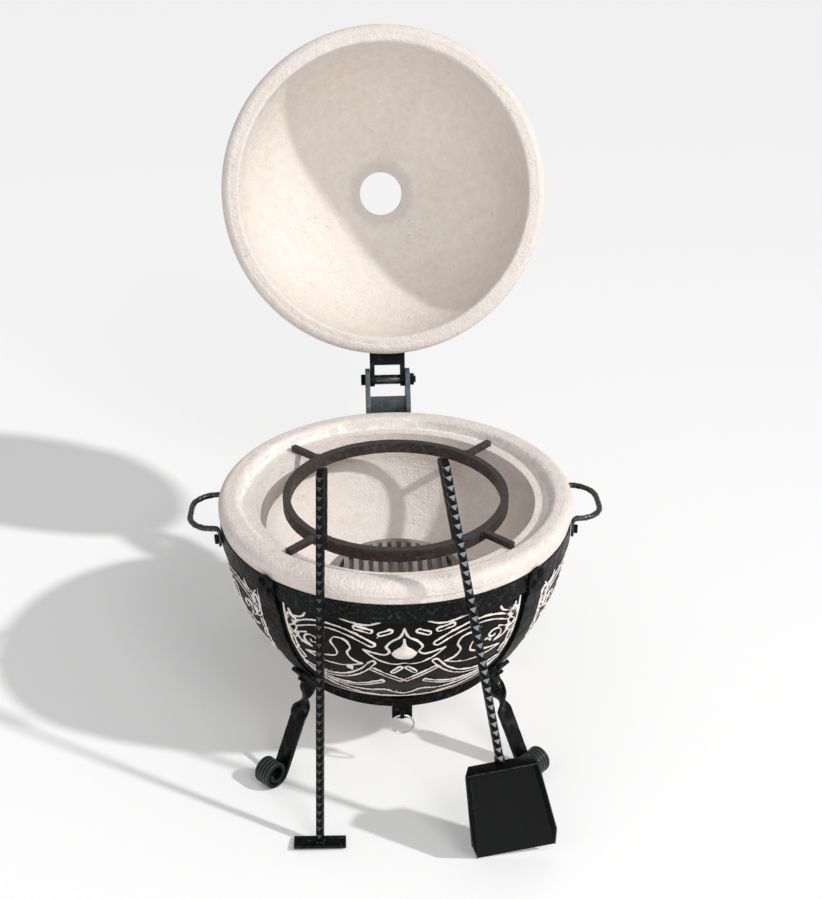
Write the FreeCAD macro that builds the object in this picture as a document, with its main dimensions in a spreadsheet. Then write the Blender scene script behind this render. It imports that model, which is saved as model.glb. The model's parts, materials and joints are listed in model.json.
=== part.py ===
import FreeCAD, Part
import math
import os
import Sketcher
from FreeCAD import Placement, Rotation, Vector

# Kamado grill: a ceramic bowl and lid bound in forged iron, with its cooking fittings and fire tools.
# It is drawn about the bowl's axis with Z up from the floor, front towards -Y.

SIZES = {
    # bowl
    "rim_height": 393,          # floor to the widest circle of the rim
    "rim_radius": 275,
    "rim_round": 14,
    "step_inset": 36,
    "step_lean": 3,
    "step_round": 9,
    "ledge_drop": 3,
    "cavity_inset": 55,
    "cavity_lift": 33,
    "air_hole_radius": 35,
    "lip_depth": 10,
    "lip_inset": 3,
    "belly_arc": 316,
    "hoop_seat_inset": 5.7,
    "belly_centre_drop": 33.7,
    "belly_end_round": 9,
    "shoulder_drop": 246,
    "foot_inset": 102,
    "foot_wall": 31,
    "foot_end_drop": 276,
    "foot_chamfer": 2,
    "floor_drop": 252,
    # hoops and straps of the bowl
    "hoop_drop": 20,
    "hoop_width": 30,
    "hoop_thick": 4.5,
    "seat_gap": 0.2,
    "base_hoop_width": 26,
    "base_hoop_thick": 5,
    "base_hoop_gap": 0.4,
    "strap_width": 36,
    "strap_thick": 4,
    "strap_gap": 0.3,
    "strap_rise": 5,
    "strap_joggle": 22,
    "strap_end_drop": 245,
    # legs
    "leg_width": 28,
    "leg_thick": 7,
    "leg_splay": 27.5,
    "leg_beyond": 13.4,
    "leg_top_drop": 216,
    "knee_drop": 246,
    "leg_gap": 0.3,
    "twist_lead": 3.2,
    "twist_length": 47,
    "roll_radius": 24,
    "roll_step": 4.5,
    "foot_flat": 0.5,
    "rib_count": 5,
    "rib_groove": 2,
    "rib_depth": 1.2,
    # rivets and bolts
    "rivet_radius": 3.5,
    "rivet_head_radius": 7,
    "rivet_head_height": 3.5,
    "rivet_side": 8,
    "rivet_rise": 6,
    "bolt_radius": 4,
    "bolt_clearance": 0.1,
    "bolt_head_radius": 7.5,
    "bolt_head_height": 5.3,
    "leg_bolt_drop": 227,
    # carrying handles
    "handle_bar_radius": 4.8,
    "handle_spread": 52,
    "handle_standoff": 44,
    "handle_corner": 38,
    "handle_drop": 21,
    "tab_width": 17,
    "tab_thick": 5,
    "tab_height": 35,
    "tab_bolt_drop": 39,
    # hinge
    "pin_behind": 48,
    "pin_lift": 50,
    "pin_radius": 6,
    "pin_clearance": 0.06,
    "cheek_outer": 39,
    "cheek_thick": 8,
    "cheek_top": 18,
    "cheek_back": 16,
    "cheek_front_clear": 2.5,
    "bracket_plate_thick": 6,
    "bracket_plate_top": 20,
    "bracket_plate_set": 13.5,
    "arm_clear": 0.5,
    "arm_thick": 8,
    "arm_half_height": 12,
    "arm_seat_gap": 0.5,
    "lid_plate_clear": 27,
    "lid_plate_thick": 6,
    "sleeve_radius": 8.5,
    "hinge_head_radius": 10.5,
    "hinge_head_height": 7.5,
    "hinge_bolt_tail": 3,
    "stop_side": 9,
    "stop_clear": 0.3,
    # lid
    "lid_angle": 107,
    "lid_seat_gap": 0.3,
    "lid_wall": 30,
    "crown_wall": 31,
    "lid_edge_round": 5,
    "crown_radius": 68,
    "vent_radius": 39,
    "lid_hoop_rise": 20,
    "lid_hoop_width": 30,
    "lid_hoop_thick": 4,
    "lid_hoop_inset": 4.6,
    "lid_strap_width": 30,
    "lid_strap_thick": 4,
    "collar_inner": 42,
    "collar_outer": 64,
    "collar_thick": 5,
    "cover_radius": 46,
    "cover_thick": 4,
    "cover_pivot": 54,
    "cover_ear": 9,
    "cover_gap": 0.3,
    "cover_knob_radius": 7,
    "cover_knob_height": 18,
    "lid_handle_angle": 45,
    "lid_handle_spread": 44,
    "lid_handle_standoff": 36,
    "lid_handle_corner": 18,
    "lid_handle_foot": 4,
    "lid_handle_foot_width": 22,
    "lid_handle_foot_thick": 4,
    # cauldron ring
    "trivet_inset": 99,
    "trivet_bar": 12,
    "trivet_height": 20,
    "trivet_arm_inset": 43,
    "trivet_arm_width": 10,
    "trivet_arm_height": 10,
    "rest_gap": 0.3,
    # grate
    "grate_radius": 109,
    "grate_rim": 9,
    "grate_height": 11,
    "grate_bar": 8,
    "grate_pitch": 16,
    # air damper and its pull ring
    "damper_half": 44,
    "damper_thick": 3,
    "damper_gap": 0.4,
    "stem_half": 15.5,
    "stem_slot_gap": 1.5,
    "stem_beyond": 13,
    "tab_drop": 37,
    "rail_end_gap": 3.2,
    "rail_back": 50,
    "rail_sheet": 2,
    "rail_flange": 14,
    "rail_lip": 7,
    "screw_radius": 2.5,
    "screw_head_radius": 4.6,
    "screw_head_height": 2.4,
    "screw_depth": 14,
    "eye_rise": 9,
    "eye_side": 8,
    "ring_radius": 17.5,
    "ring_wire_radius": 1.5,
    "ring_play": 0.7,
    # rake and shovel
    "bar_side": 9.6,
    "stud_height": 1.3,
    "stud_pitch": 13.6,
    "rake_stud_count": 42,
    "hook_stud_count": 8,
    "hook_gap": 3,
    "rod_turn_angle": 18,
    "rake_lean_angle": 7.9,
    "rake_tilt_angle": 1.8,
    "rake_side": 128,
    "rake_beyond": 64,
    "blade_width": 76,
    "blade_depth": 26,
    "blade_thick": 4,
    "shovel_stud_count": 33,
    "shovel_lean_angle": 10.7,
    "shovel_tilt_angle": 9.8,
    "shovel_side": 156,
    "shovel_beyond": 109,
    "pan_length": 150,
    "pan_back_width": 92,
    "pan_lip_width": 115,
    "pan_wall": 24,
    "pan_sheet": 1.6,
}


class Size:
    """A number that keeps the sheet formula it comes from."""

    def __init__(self, value, formula):
        self.value = value
        self.formula = formula

    def __add__(self, other):
        return Size(self.value + number(other), f"({self.formula} + {formula(other)})")

    def __radd__(self, other):
        return Size(number(other) + self.value, f"({formula(other)} + {self.formula})")

    def __sub__(self, other):
        return Size(self.value - number(other), f"({self.formula} - {formula(other)})")

    def __rsub__(self, other):
        return Size(number(other) - self.value, f"({formula(other)} - {self.formula})")

    def __mul__(self, other):
        return Size(self.value * number(other), f"({self.formula} * {formula(other)})")

    def __rmul__(self, other):
        return self * other

    def __truediv__(self, other):
        return Size(self.value / number(other), f"({self.formula} / {formula(other)})")

    def __neg__(self):
        return 0 - self


def number(size):
    return size.value if isinstance(size, Size) else float(size)


def formula(size):
    return size.formula if isinstance(size, Size) else repr(float(size))


def root(size):
    return Size(math.sqrt(number(size)), f"sqrt({formula(size)})")


def sine(angle):
    return Size(math.sin(math.radians(number(angle))), f"sin({formula(angle)})")


def cosine(angle):
    return Size(math.cos(math.radians(number(angle))), f"cos({formula(angle)})")


doc = FreeCAD.newDocument("KamadoGrill")


def write_sheet():
    """Put the driving sizes in the sheet and hand them back as Size values."""
    sheet = doc.addObject("Spreadsheet::Sheet", "Sizes")
    for row, (name, value) in enumerate(SIZES.items(), start=1):
        sheet.set(f"A{row}", name)
        sheet.set(f"B{row}", str(value))
        sheet.setAlias(f"B{row}", name)
    doc.recompute()
    return {name: Size(float(value), f"Sizes.{name}") for name, value in SIZES.items()}


S = write_sheet()
NODES = []


# Helpers for bodies, sketches and features

def new_body(name):
    body = doc.addObject("PartDesign::Body", name)
    body.Label = name
    NODES.append(body)
    return body


def origin_plane(body, role):
    return [item for item in body.Origin.OriginFeatures if item.Role == role][0]


def bind(feature, **sizes):
    for name, size in sizes.items():
        setattr(feature, name, number(size))
        if isinstance(size, Size):
            feature.setExpression(name, size.formula)


def new_sketch(body, role, lift=0, place=None):
    """A sketch on one of the body's own origin planes, raised by lift or put at place."""
    sketch = body.newObject("Sketcher::SketchObject", f"{body.Name}_sketch")
    sketch.AttachmentSupport = (origin_plane(body, role), [""])
    sketch.MapMode = "FlatFace"
    if place is not None:
        sketch.AttachmentOffset = place
    elif isinstance(lift, Size) or lift:
        sketch.AttachmentOffset = Placement(Vector(0, 0, number(lift)), Rotation())
        if isinstance(lift, Size):
            sketch.setExpression("AttachmentOffset.Base.z", lift.formula)
    return sketch


def hold(sketch, kind, size, *where):
    index = sketch.addConstraint(Sketcher.Constraint(kind, *where, number(size)))
    if isinstance(size, Size):
        sketch.setExpression(f"Constraints[{index}]", size.formula)


def hold_point(sketch, edge, end, corner):
    for kind, axis, size in (("DistanceX", -2, corner[0]), ("DistanceY", -1, corner[1])):
        if abs(number(size)) < 1e-9:
            sketch.addConstraint(Sketcher.Constraint("PointOnObject", edge, end, axis))
        else:
            hold(sketch, kind, size, -1, 1, edge, end)


def edge_between(start, finish, turn):
    """A line, or an arc of radius turn whose centre is on the left, or on the right if negative."""
    p = Vector(number(start[0]), number(start[1]), 0)
    q = Vector(number(finish[0]), number(finish[1]), 0)
    if turn is None:
        return Part.LineSegment(p, q)
    radius = abs(number(turn))
    chord = q - p
    rise = radius - math.sqrt(max(radius ** 2 - chord.Length ** 2 / 4, 0))
    right = Vector(chord.y, -chord.x, 0).normalize()
    side = 1 if number(turn) > 0 else -1
    return Part.Arc(p, (p + q) / 2 + right * side * rise, q)


def outline(sketch, corners, closed=True):
    """Fully held outline. A corner is (across, up) or (across, up, turn of the edge that leaves it)."""
    count = len(corners)
    edges = []
    for i in range(count if closed else count - 1):
        turn = corners[i][2] if len(corners[i]) > 2 else None
        curve = edge_between(corners[i], corners[(i + 1) % count], turn)
        index = sketch.addGeometry(curve)
        begin = Vector(number(corners[i][0]), number(corners[i][1]), 0)
        first = 1 if (sketch.getPoint(index, 1) - begin).Length < 1e-4 else 2
        edges.append((index, first, 3 - first))
        if turn is not None:
            hold(sketch, "Radius", turn if number(turn) > 0 else -turn, index)
    for i, (index, first, last) in enumerate(edges):
        hold_point(sketch, index, first, corners[i])
        if closed or i + 1 < len(edges):
            following, following_first = edges[(i + 1) % len(edges)][:2]
            sketch.addConstraint(
                Sketcher.Constraint("Coincident", index, last, following, following_first))
    if not closed:
        hold_point(sketch, edges[-1][0], edges[-1][2], corners[-1])


def circle(sketch, across, up, radius):
    centre = Vector(number(across), number(up), 0)
    index = sketch.addGeometry(Part.Circle(centre, Vector(0, 0, 1), number(radius)))
    hold(sketch, "Radius", radius, index)
    hold_point(sketch, index, 3, (across, up))


def rectangle(sketch, left, low, right, high):
    outline(sketch, [(left, low), (right, low), (right, high), (left, high)])


def add(body, kind, sketch, **values):
    feature = body.newObject(f"PartDesign::{kind}", f"{body.Name}_{kind.lower()}")
    feature.Profile = sketch
    sizes = {name: v for name, v in values.items() if isinstance(v, (Size, float))}
    for name, value in values.items():
        if name not in sizes:
            setattr(feature, name, value)
    bind(feature, **sizes)
    return feature


def revolve(body, sketch):
    return add(body, "Revolution", sketch, ReferenceAxis=(sketch, ["V_Axis"]), Angle=360.0)


def pad(body, sketch, length, midplane=False, reverse=False):
    return add(body, "Pad", sketch, Length=length, Midplane=midplane, Reversed=reverse)


def pocket(body, sketch, length, midplane=False, reverse=False):
    return add(body, "Pocket", sketch, Length=length, Midplane=midplane, Reversed=reverse)


def mirror(body, features, role):
    copy = body.newObject("PartDesign::Mirrored", f"{body.Name}_mirror")
    copy.Originals = features
    copy.MirrorPlane = (origin_plane(body, role), [""])
    body.Tip = copy
    return copy


def facing(point, outward):
    """Placement of a sketch at point, its normal along outward."""
    return Placement(point, Rotation(Vector(0, 0, 1), outward))


def drill(body, point, outward, radius, depth):
    """Round hole from point, against outward, into the body."""
    sketch = new_sketch(body, "XY_Plane", place=facing(point, outward))
    circle(sketch, 0, 0, radius)
    return pocket(body, sketch, depth)


def turned(degrees):
    return Placement(Vector(), Rotation(Vector(0, 0, 1), degrees))


def group(name, pieces):
    node = doc.addObject("Part::Compound", name)
    node.Label = name
    node.Links = pieces
    NODES.append(node)
    return node


def fastener(name, place, shank_radius, shank_length, head_radius, head_height, sides=6):
    """Bolt with its head's underside at the origin and its shank along -Z, put at place."""
    if sides:
        head = doc.addObject("Part::Prism", f"{name}_head")
        head.Polygon = sides
        bind(head, Circumradius=head_radius, Height=head_height)
    else:
        head = doc.addObject("Part::Ellipsoid", f"{name}_head")
        bind(head, Radius1=head_height, Radius2=head_radius, Radius3=head_radius)
        head.Angle1 = 0
    shank = doc.addObject("Part::Cylinder", f"{name}_shank")
    bind(shank, Radius=shank_radius, Height=shank_length)
    shank.Placement = Placement(Vector(0, 0, -number(shank_length)), Rotation())
    shank.setExpression("Placement.Base.z", formula(-shank_length))
    whole = doc.addObject("Part::Fuse", name)
    whole.Base = head
    whole.Tool = shank
    whole.Placement = place
    return whole


# Heights and radii that several pieces share

RIM = S["rim_height"]
RIM_TOP = RIM + S["rim_round"]
LEDGE = RIM - S["ledge_drop"]
HOOP_TOP = RIM - S["hoop_drop"]
HOOP_LOW = HOOP_TOP - S["hoop_width"]
HOOP_SEAT = S["rim_radius"] - S["hoop_seat_inset"]
STEP_RADIUS = S["rim_radius"] - S["step_inset"]
CAVITY_RADIUS = S["rim_radius"] - S["cavity_inset"]
FOOT_RADIUS = S["rim_radius"] - S["foot_inset"]
BELLY_Z = RIM - S["belly_centre_drop"]
BELLY_X = HOOP_SEAT - root(S["belly_arc"] * S["belly_arc"] - (HOOP_LOW - BELLY_Z) * (HOOP_LOW - BELLY_Z))
CAVITY_Z = RIM + S["cavity_lift"]
SHOULDER = RIM - S["shoulder_drop"]
FOOT_END = RIM - S["foot_end_drop"]
BOWL_UNDERSIDE = RIM - S["floor_drop"]


def belly(height, offset=0):
    """Radius of the bowl's belly, or of a surface offset from it, at a height."""
    return BELLY_X + root((S["belly_arc"] + offset) * (S["belly_arc"] + offset)
                          - (height - BELLY_Z) * (height - BELLY_Z))


def cavity(height):
    return root(CAVITY_RADIUS * CAVITY_RADIUS - (height - CAVITY_Z) * (height - CAVITY_Z))


HOOP_OUTER = HOOP_SEAT + S["seat_gap"] + S["hoop_thick"]
BASE_HOOP_TOP = SHOULDER - S["base_hoop_gap"]
BASE_HOOP_OUTER = FOOT_RADIUS + S["seat_gap"] + S["base_hoop_thick"]
DAMPER_TOP = BOWL_UNDERSIDE - S["damper_gap"]
DAMPER_LOW = DAMPER_TOP - S["damper_thick"]
RIVET_HOLE = S["rivet_radius"] + S["bolt_clearance"]
BOLT_HOLE = S["bolt_radius"] + S["bolt_clearance"]
SCREW_HOLE = S["screw_radius"] + S["bolt_clearance"]
CORNERS = ("back_right", "back_left", "front_left", "front_right")


def azimuth_of(corner):
    """Direction of a corner, in degrees from +X."""
    return (CORNERS.index(corner) + 0.5) * 360 / len(CORNERS)


# Bowl

def make_bowl():
    body = new_body("bowl")
    air = S["air_hole_radius"]
    turn = S["belly_end_round"]
    share = turn / S["belly_arc"]
    belly_end = (SHOULDER + turn - share * BELLY_Z) / (1 - share)
    belly_foot = belly(belly_end) - share * (belly(belly_end) - BELLY_X)
    foot = FOOT_RADIUS
    foot_inner = foot - S["foot_wall"]
    chamfer = S["foot_chamfer"]
    step_top = STEP_RADIUS + S["step_lean"]
    sketch = new_sketch(body, "XZ_Plane")
    outline(sketch, [
        (air, CAVITY_Z - root(CAVITY_RADIUS * CAVITY_RADIUS - air * air),
         CAVITY_RADIUS),
        (cavity(LEDGE), LEDGE),
        (STEP_RADIUS, LEDGE),
        (step_top, RIM_TOP - S["step_round"], -S["step_round"]),
        (step_top + S["step_round"], RIM_TOP),
        (S["rim_radius"] - S["rim_round"], RIM_TOP, -S["rim_round"]),
        (S["rim_radius"], RIM),
        (S["rim_radius"], RIM - S["lip_depth"] + S["lip_inset"]),
        (S["rim_radius"] - S["lip_inset"], RIM - S["lip_depth"]),
        (S["rim_radius"] - S["lip_inset"], HOOP_TOP),
        (HOOP_SEAT, HOOP_TOP),
        (HOOP_SEAT, HOOP_LOW, -S["belly_arc"]),
        (belly(belly_end), belly_end, -turn),
        (belly_foot, SHOULDER),
        (foot, SHOULDER),
        (foot, FOOT_END + chamfer),
        (foot - chamfer, FOOT_END),
        (foot_inner + chamfer, FOOT_END),
        (foot_inner, FOOT_END + chamfer),
        (foot_inner, BOWL_UNDERSIDE),
        (air, BOWL_UNDERSIDE),
    ])
    revolve(body, sketch)
    slot = new_sketch(body, "YZ_Plane")
    rectangle(slot, -foot - 5, DAMPER_LOW - S["stem_slot_gap"], -foot_inner + 3, BOWL_UNDERSIDE)
    pocket(body, slot, (S["stem_half"] + S["stem_slot_gap"]) * 2, midplane=True)
    for x, y in rail_screw_places():
        drill(body, Vector(x, y, number(BOWL_UNDERSIDE)), Vector(0, 0, -1),
              SCREW_HOLE, S["screw_depth"])
    return body


# Hoops of the bowl

def make_upper_hoop():
    body = new_body("upper_hoop")
    sketch = new_sketch(body, "XZ_Plane")
    rectangle(sketch, HOOP_SEAT + S["seat_gap"], HOOP_LOW, HOOP_OUTER, HOOP_TOP)
    revolve(body, sketch)
    for corner in CORNERS:
        for side, rise in rivet_spots(corner):
            point, outward = strap_face_point(azimuth_of(corner), side, rise)
            drill(body, point, outward, RIVET_HOLE, S["hoop_thick"] + S["strap_thick"] + 3)
    for azimuth in (0, 180):
        for side in (-1, 1):
            point, outward = tab_face_point(azimuth, side)
            drill(body, point, outward, BOLT_HOLE, S["hoop_thick"] + S["tab_thick"] + 3)
    return body


def make_base_hoop():
    body = new_body("base_hoop")
    sketch = new_sketch(body, "XZ_Plane")
    low = BASE_HOOP_TOP - S["base_hoop_width"]
    rectangle(sketch, FOOT_RADIUS + S["seat_gap"], low, BASE_HOOP_OUTER, BASE_HOOP_TOP)
    revolve(body, sketch)
    slot = new_sketch(body, "YZ_Plane")
    rectangle(slot, -BASE_HOOP_OUTER - 5, DAMPER_LOW - S["stem_slot_gap"],
              -FOOT_RADIUS + 3, DAMPER_TOP + S["stem_slot_gap"])
    pocket(body, slot, (S["stem_half"] + S["stem_slot_gap"]) * 2, midplane=True)
    return body


# Straps that clasp the bowl from the upper hoop to the legs

STRAP_IN = HOOP_OUTER + S["strap_gap"]
STRAP_OUT = STRAP_IN + S["strap_thick"]
STRAP_TOP = HOOP_TOP + S["strap_rise"]
STRAP_END = RIM - S["strap_end_drop"]


def rivet_spots(corner):
    """Two rivets set on the slant, the higher one on the outer side of the object."""
    outer = 1 if corner in ("back_left", "front_right") else -1
    return ((outer * number(S["rivet_side"]), number(S["rivet_rise"])),
            (-outer * number(S["rivet_side"]), -number(S["rivet_rise"])))


def strap_face_point(azimuth, side, rise):
    """Point on the strap's outer face over the hoop, and the outward direction there."""
    outward = turned(azimuth).multVec(Vector(1, 0, 0))
    height = number(HOOP_TOP) - number(S["hoop_width"]) / 2 + rise
    local = Vector(number(STRAP_OUT), side, height)
    return turned(azimuth).multVec(local), outward


def leg_bolt_point(azimuth, offset):
    """Point over the belly on the leg bolt's own line, and the outward direction of that line."""
    arc = number(S["belly_arc"])
    drop = number(RIM - S["leg_bolt_drop"] - BELLY_Z)
    outward = Vector(math.sqrt(arc ** 2 - drop ** 2), 0, drop) / arc
    centre = Vector(number(BELLY_X), 0, number(BELLY_Z))
    place = turned(azimuth)
    return place.multVec(centre + outward * (arc + offset)), place.multVec(outward)


def make_strap(corner):
    body = new_body(f"strap_{corner}")
    inner = S["strap_gap"]
    outer = S["strap_gap"] + S["strap_thick"]
    bend = HOOP_LOW - 2
    settle = bend - S["strap_joggle"]
    sketch = new_sketch(body, "XZ_Plane")
    outline(sketch, [
        (STRAP_IN, STRAP_TOP),
        (STRAP_IN, bend),
        (belly(settle, inner), settle, -(S["belly_arc"] + inner)),
        (belly(STRAP_END, inner), STRAP_END),
        (belly(STRAP_END, outer), STRAP_END, S["belly_arc"] + outer),
        (belly(settle, outer), settle),
        (STRAP_OUT, bend),
        (STRAP_OUT, STRAP_TOP),
    ])
    band = revolve(body, sketch)
    band.Midplane = True
    band.Angle = 24
    half = S["strap_width"] / 2
    trim = new_sketch(body, "YZ_Plane")
    far = S["strap_width"] * 3
    outline(trim, [(-far, 0), (far, 0), (far, RIM + far), (-far, RIM + far)])
    outline(trim, [
        (-half, STRAP_END - half),
        (half, STRAP_END - half),
        (half, STRAP_TOP - half, half),
        (0, STRAP_TOP, half),
        (-half, STRAP_TOP - half),
    ])
    pocket(body, trim, S["rim_radius"] * 4, midplane=True)
    for side, rise in rivet_spots(corner):
        point, outward = strap_face_point(0, side, rise)
        drill(body, point + outward, outward, RIVET_HOLE, S["strap_thick"] + 3)
    point, outward = leg_bolt_point(0, number(outer) + 2)
    drill(body, point, outward, BOLT_HOLE, S["strap_thick"] + 5)
    body.Placement = turned(azimuth_of(corner))
    return body


# Legs: a lapped and bolted top, one half twist and a scrolled foot

SPLAY_SIN = sine(S["leg_splay"])
SPLAY_COS = cosine(S["leg_splay"])
KNEE = RIM - S["knee_drop"]
ROLL_Z = S["roll_radius"] - S["foot_flat"]
LEG_RUN = (KNEE - ROLL_Z) / SPLAY_COS
ROLL_X = belly(KNEE) + SPLAY_SIN * LEG_RUN + SPLAY_COS * S["roll_radius"] + S["leg_beyond"]
TWIST_RISE = LEG_RUN - S["twist_lead"] - S["twist_length"]


def leg_line(out, up):
    """Point of the leg's plane, out along the roll's first radius and up along the straight bar."""
    return (ROLL_X + SPLAY_COS * out - SPLAY_SIN * up, ROLL_Z + SPLAY_SIN * out + SPLAY_COS * up)


def leg_top_outline():
    inner = S["strap_gap"] + S["strap_thick"] + S["leg_gap"]
    outer = inner + S["leg_thick"]
    top = RIM - S["leg_top_drop"]
    twist_top = TWIST_RISE + S["twist_length"]
    return [
        (belly(top, inner), top, -(S["belly_arc"] + inner)),
        (belly(KNEE + 1, inner), KNEE + 1),
        leg_line(-S["roll_radius"], twist_top),
        leg_line(-(S["roll_radius"] - S["leg_thick"]), twist_top),
        (belly(KNEE, outer), KNEE, S["belly_arc"] + outer),
        (belly(top, outer), top),
    ]


def scroll_outline():
    """Straight end of the bar and three shrinking half turns."""
    step = S["roll_step"]
    first = S["roll_radius"]
    second = first - step
    third = second - step
    bar = S["leg_thick"]
    return [
        leg_line(-(first - bar), TWIST_RISE),
        leg_line(-first, TWIST_RISE),
        leg_line(-first, 0) + (first,),
        leg_line(0, -first) + (first,),
        leg_line(first, 0) + (second,),
        leg_line(step, second) + (second,),
        leg_line(step - second, 0) + (third,),
        leg_line(0, -third) + (third,),
        leg_line(third, 0),
        leg_line(third - bar, 0) + (-(third - bar),),
        leg_line(0, -(third - bar)) + (-(third - bar),),
        leg_line(-(third - bar), 0) + (-(second - bar),),
        leg_line(step, second - bar) + (-(second - bar),),
        leg_line(first - bar, 0) + (-(first - bar),),
        leg_line(0, -(first - bar)) + (-(first - bar),),
        leg_line(-(first - bar), 0),
    ]


def add_scroll_grooves(body):
    """Grooves between the ribs of the rolled foot, along its first and second half turns."""
    count = int(SIZES["rib_count"]) - 1
    pitch = (S["leg_width"] + S["rib_groove"]) / S["rib_count"]
    half = S["rib_groove"] / 2
    splay = number(S["leg_splay"])
    turns = ((leg_line(0, 0), S["roll_radius"], splay),
             (leg_line(S["roll_step"], 0), S["roll_radius"] - S["roll_step"], splay + 180))
    for (across, up), radius, start in turns:
        turn = Rotation(Vector(0, 1, 0), -start)
        place = Placement(Vector(number(across), 0, number(up)), turn)
        sketch = new_sketch(body, "XY_Plane", place=place)
        sketch.setExpression("AttachmentOffset.Base.x", across.formula)
        sketch.setExpression("AttachmentOffset.Base.z", up.formula)
        for index in range(count):
            centre = pitch * (index + 1 - (count + 1) / 2)
            rectangle(sketch, radius - S["rib_depth"], centre - half, radius + 1, centre + half)
        add(body, "Groove", sketch, ReferenceAxis=(sketch, ["V_Axis"]), Angle=180.0)


TWIST_STEPS = 8


def add_twist(body):
    """Half twist as a loft through turned sections of the bar."""
    sketches = []
    half_width = S["leg_width"] / 2
    half_thick = S["leg_thick"] / 2
    splay = math.radians(number(S["leg_splay"]))
    out = Vector(math.cos(splay), 0, math.sin(splay))
    down = Vector(math.sin(splay), 0, -math.cos(splay))
    base = Rotation(Vector(0, 1, 0), out, down, "ZXY")
    for step in range(TWIST_STEPS + 1):
        share = step / TWIST_STEPS
        rise = TWIST_RISE + S["twist_length"] * (1 - share)
        across, up = leg_line(-(S["roll_radius"] - half_thick), rise)
        turn = base.multiply(Rotation(Vector(0, 0, 1), 180 * share))
        place = Placement(Vector(number(across), 0, number(up)), turn)
        sketch = new_sketch(body, "XY_Plane", place=place)
        sketch.setExpression("AttachmentOffset.Base.x", across.formula)
        sketch.setExpression("AttachmentOffset.Base.z", up.formula)
        rectangle(sketch, -half_width, -half_thick, half_width, half_thick)
        sketches.append(sketch)
    loft = body.newObject("PartDesign::AdditiveLoft", f"{body.Name}_twist")
    loft.Profile = sketches[0]
    loft.Sections = sketches[1:]
    loft.Ruled = True
    return loft


def make_leg(corner):
    body = new_body(f"leg_{corner}")
    top = new_sketch(body, "XZ_Plane")
    outline(top, leg_top_outline())
    pad(body, top, S["leg_width"], midplane=True)
    add_twist(body)
    scroll = new_sketch(body, "XZ_Plane")
    outline(scroll, scroll_outline())
    pad(body, scroll, S["leg_width"], midplane=True)
    add_scroll_grooves(body)
    ground = new_sketch(body, "XZ_Plane")
    rectangle(ground, ROLL_X - S["roll_radius"], -5, ROLL_X + S["roll_radius"], 0)
    pocket(body, ground, S["leg_width"] * 2, midplane=True)
    lap = number(S["strap_gap"] + S["strap_thick"] + S["leg_gap"] + S["leg_thick"])
    point, outward = leg_bolt_point(0, lap + 2)
    drill(body, point, outward, BOLT_HOLE, S["leg_thick"] + 4)
    body.Placement = turned(azimuth_of(corner))
    return body


# Rivets and bolts of the ironwork

def make_hoop_rivets():
    rivets = []
    length = S["hoop_thick"] + S["strap_gap"] + S["strap_thick"]
    for corner in CORNERS:
        for side, rise in rivet_spots(corner):
            point, outward = strap_face_point(azimuth_of(corner), side, rise)
            name = f"hoop_rivet_{len(rivets) + 1}"
            rivets.append(fastener(name, facing(point, outward), S["rivet_radius"], length,
                                   S["rivet_head_radius"], S["rivet_head_height"], sides=0))
    return group("hoop_rivets", rivets)


def make_leg_bolts():
    bolts = []
    reach = S["strap_thick"] + S["leg_gap"] + S["leg_thick"]
    for corner in CORNERS:
        point, outward = leg_bolt_point(azimuth_of(corner), number(S["strap_gap"] + reach))
        bolts.append(fastener(f"leg_bolt_{corner}", facing(point, outward), S["bolt_radius"],
                              reach, S["bolt_head_radius"], S["bolt_head_height"]))
    return group("leg_bolts", bolts)


# Carrying handles on the left and right

TAB_IN = HOOP_OUTER + S["strap_gap"]
TAB_OUT = TAB_IN + S["tab_thick"]


def tab_angle():
    return math.degrees(math.asin(number(S["handle_spread"]) / number(TAB_IN)))


def tab_face_point(azimuth, side):
    """Bolt place on a tab's outer face, and the outward direction there."""
    place = turned(azimuth + side * tab_angle())
    height = number(RIM - S["tab_bolt_drop"])
    return place.multVec(Vector(number(TAB_OUT), 0, height)), place.multVec(Vector(1, 0, 0))


def make_handle(name, azimuth):
    body = new_body(name)
    spread = S["handle_spread"]
    height = RIM - S["handle_drop"]
    tab_top = height + S["handle_bar_radius"] + 1
    tab_sine = spread / TAB_IN
    tab_cosine = root(1 - tab_sine * tab_sine)
    half = S["tab_width"] / 2

    def tab_corner(radius, along):
        return (tab_cosine * radius - tab_sine * along, tab_sine * radius + tab_cosine * along)

    tab = new_sketch(body, "XY_Plane", lift=tab_top)
    outline(tab, [tab_corner(TAB_IN, -half), tab_corner(TAB_OUT, -half),
                  tab_corner(TAB_OUT, half), tab_corner(TAB_IN, half)])
    tab_pad = pad(body, tab, S["tab_height"], reverse=True)
    mirror(body, [tab_pad], "XZ_Plane")
    start = tab_cosine * (TAB_IN + S["tab_thick"] / 2)
    path = new_sketch(body, "XY_Plane", lift=height)
    corner = S["handle_corner"]
    reach = S["rim_radius"] + S["handle_standoff"]
    outline(path, [
        (start, -spread),
        (reach - corner, -spread, corner),
        (reach, -spread + corner),
        (reach, spread - corner, corner),
        (reach - corner, spread),
        (start, spread),
    ], closed=False)
    section = new_sketch(body, "YZ_Plane", lift=start)
    circle(section, -spread, height, S["handle_bar_radius"])
    bar = body.newObject("PartDesign::AdditivePipe", f"{name}_bar")
    bar.Profile = section
    bar.Spine = path
    for side in (-1, 1):
        point, outward = tab_face_point(0, side)
        drill(body, point + outward, outward, BOLT_HOLE, S["tab_thick"] + 3)
    body.Placement = turned(azimuth)
    return body


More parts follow.
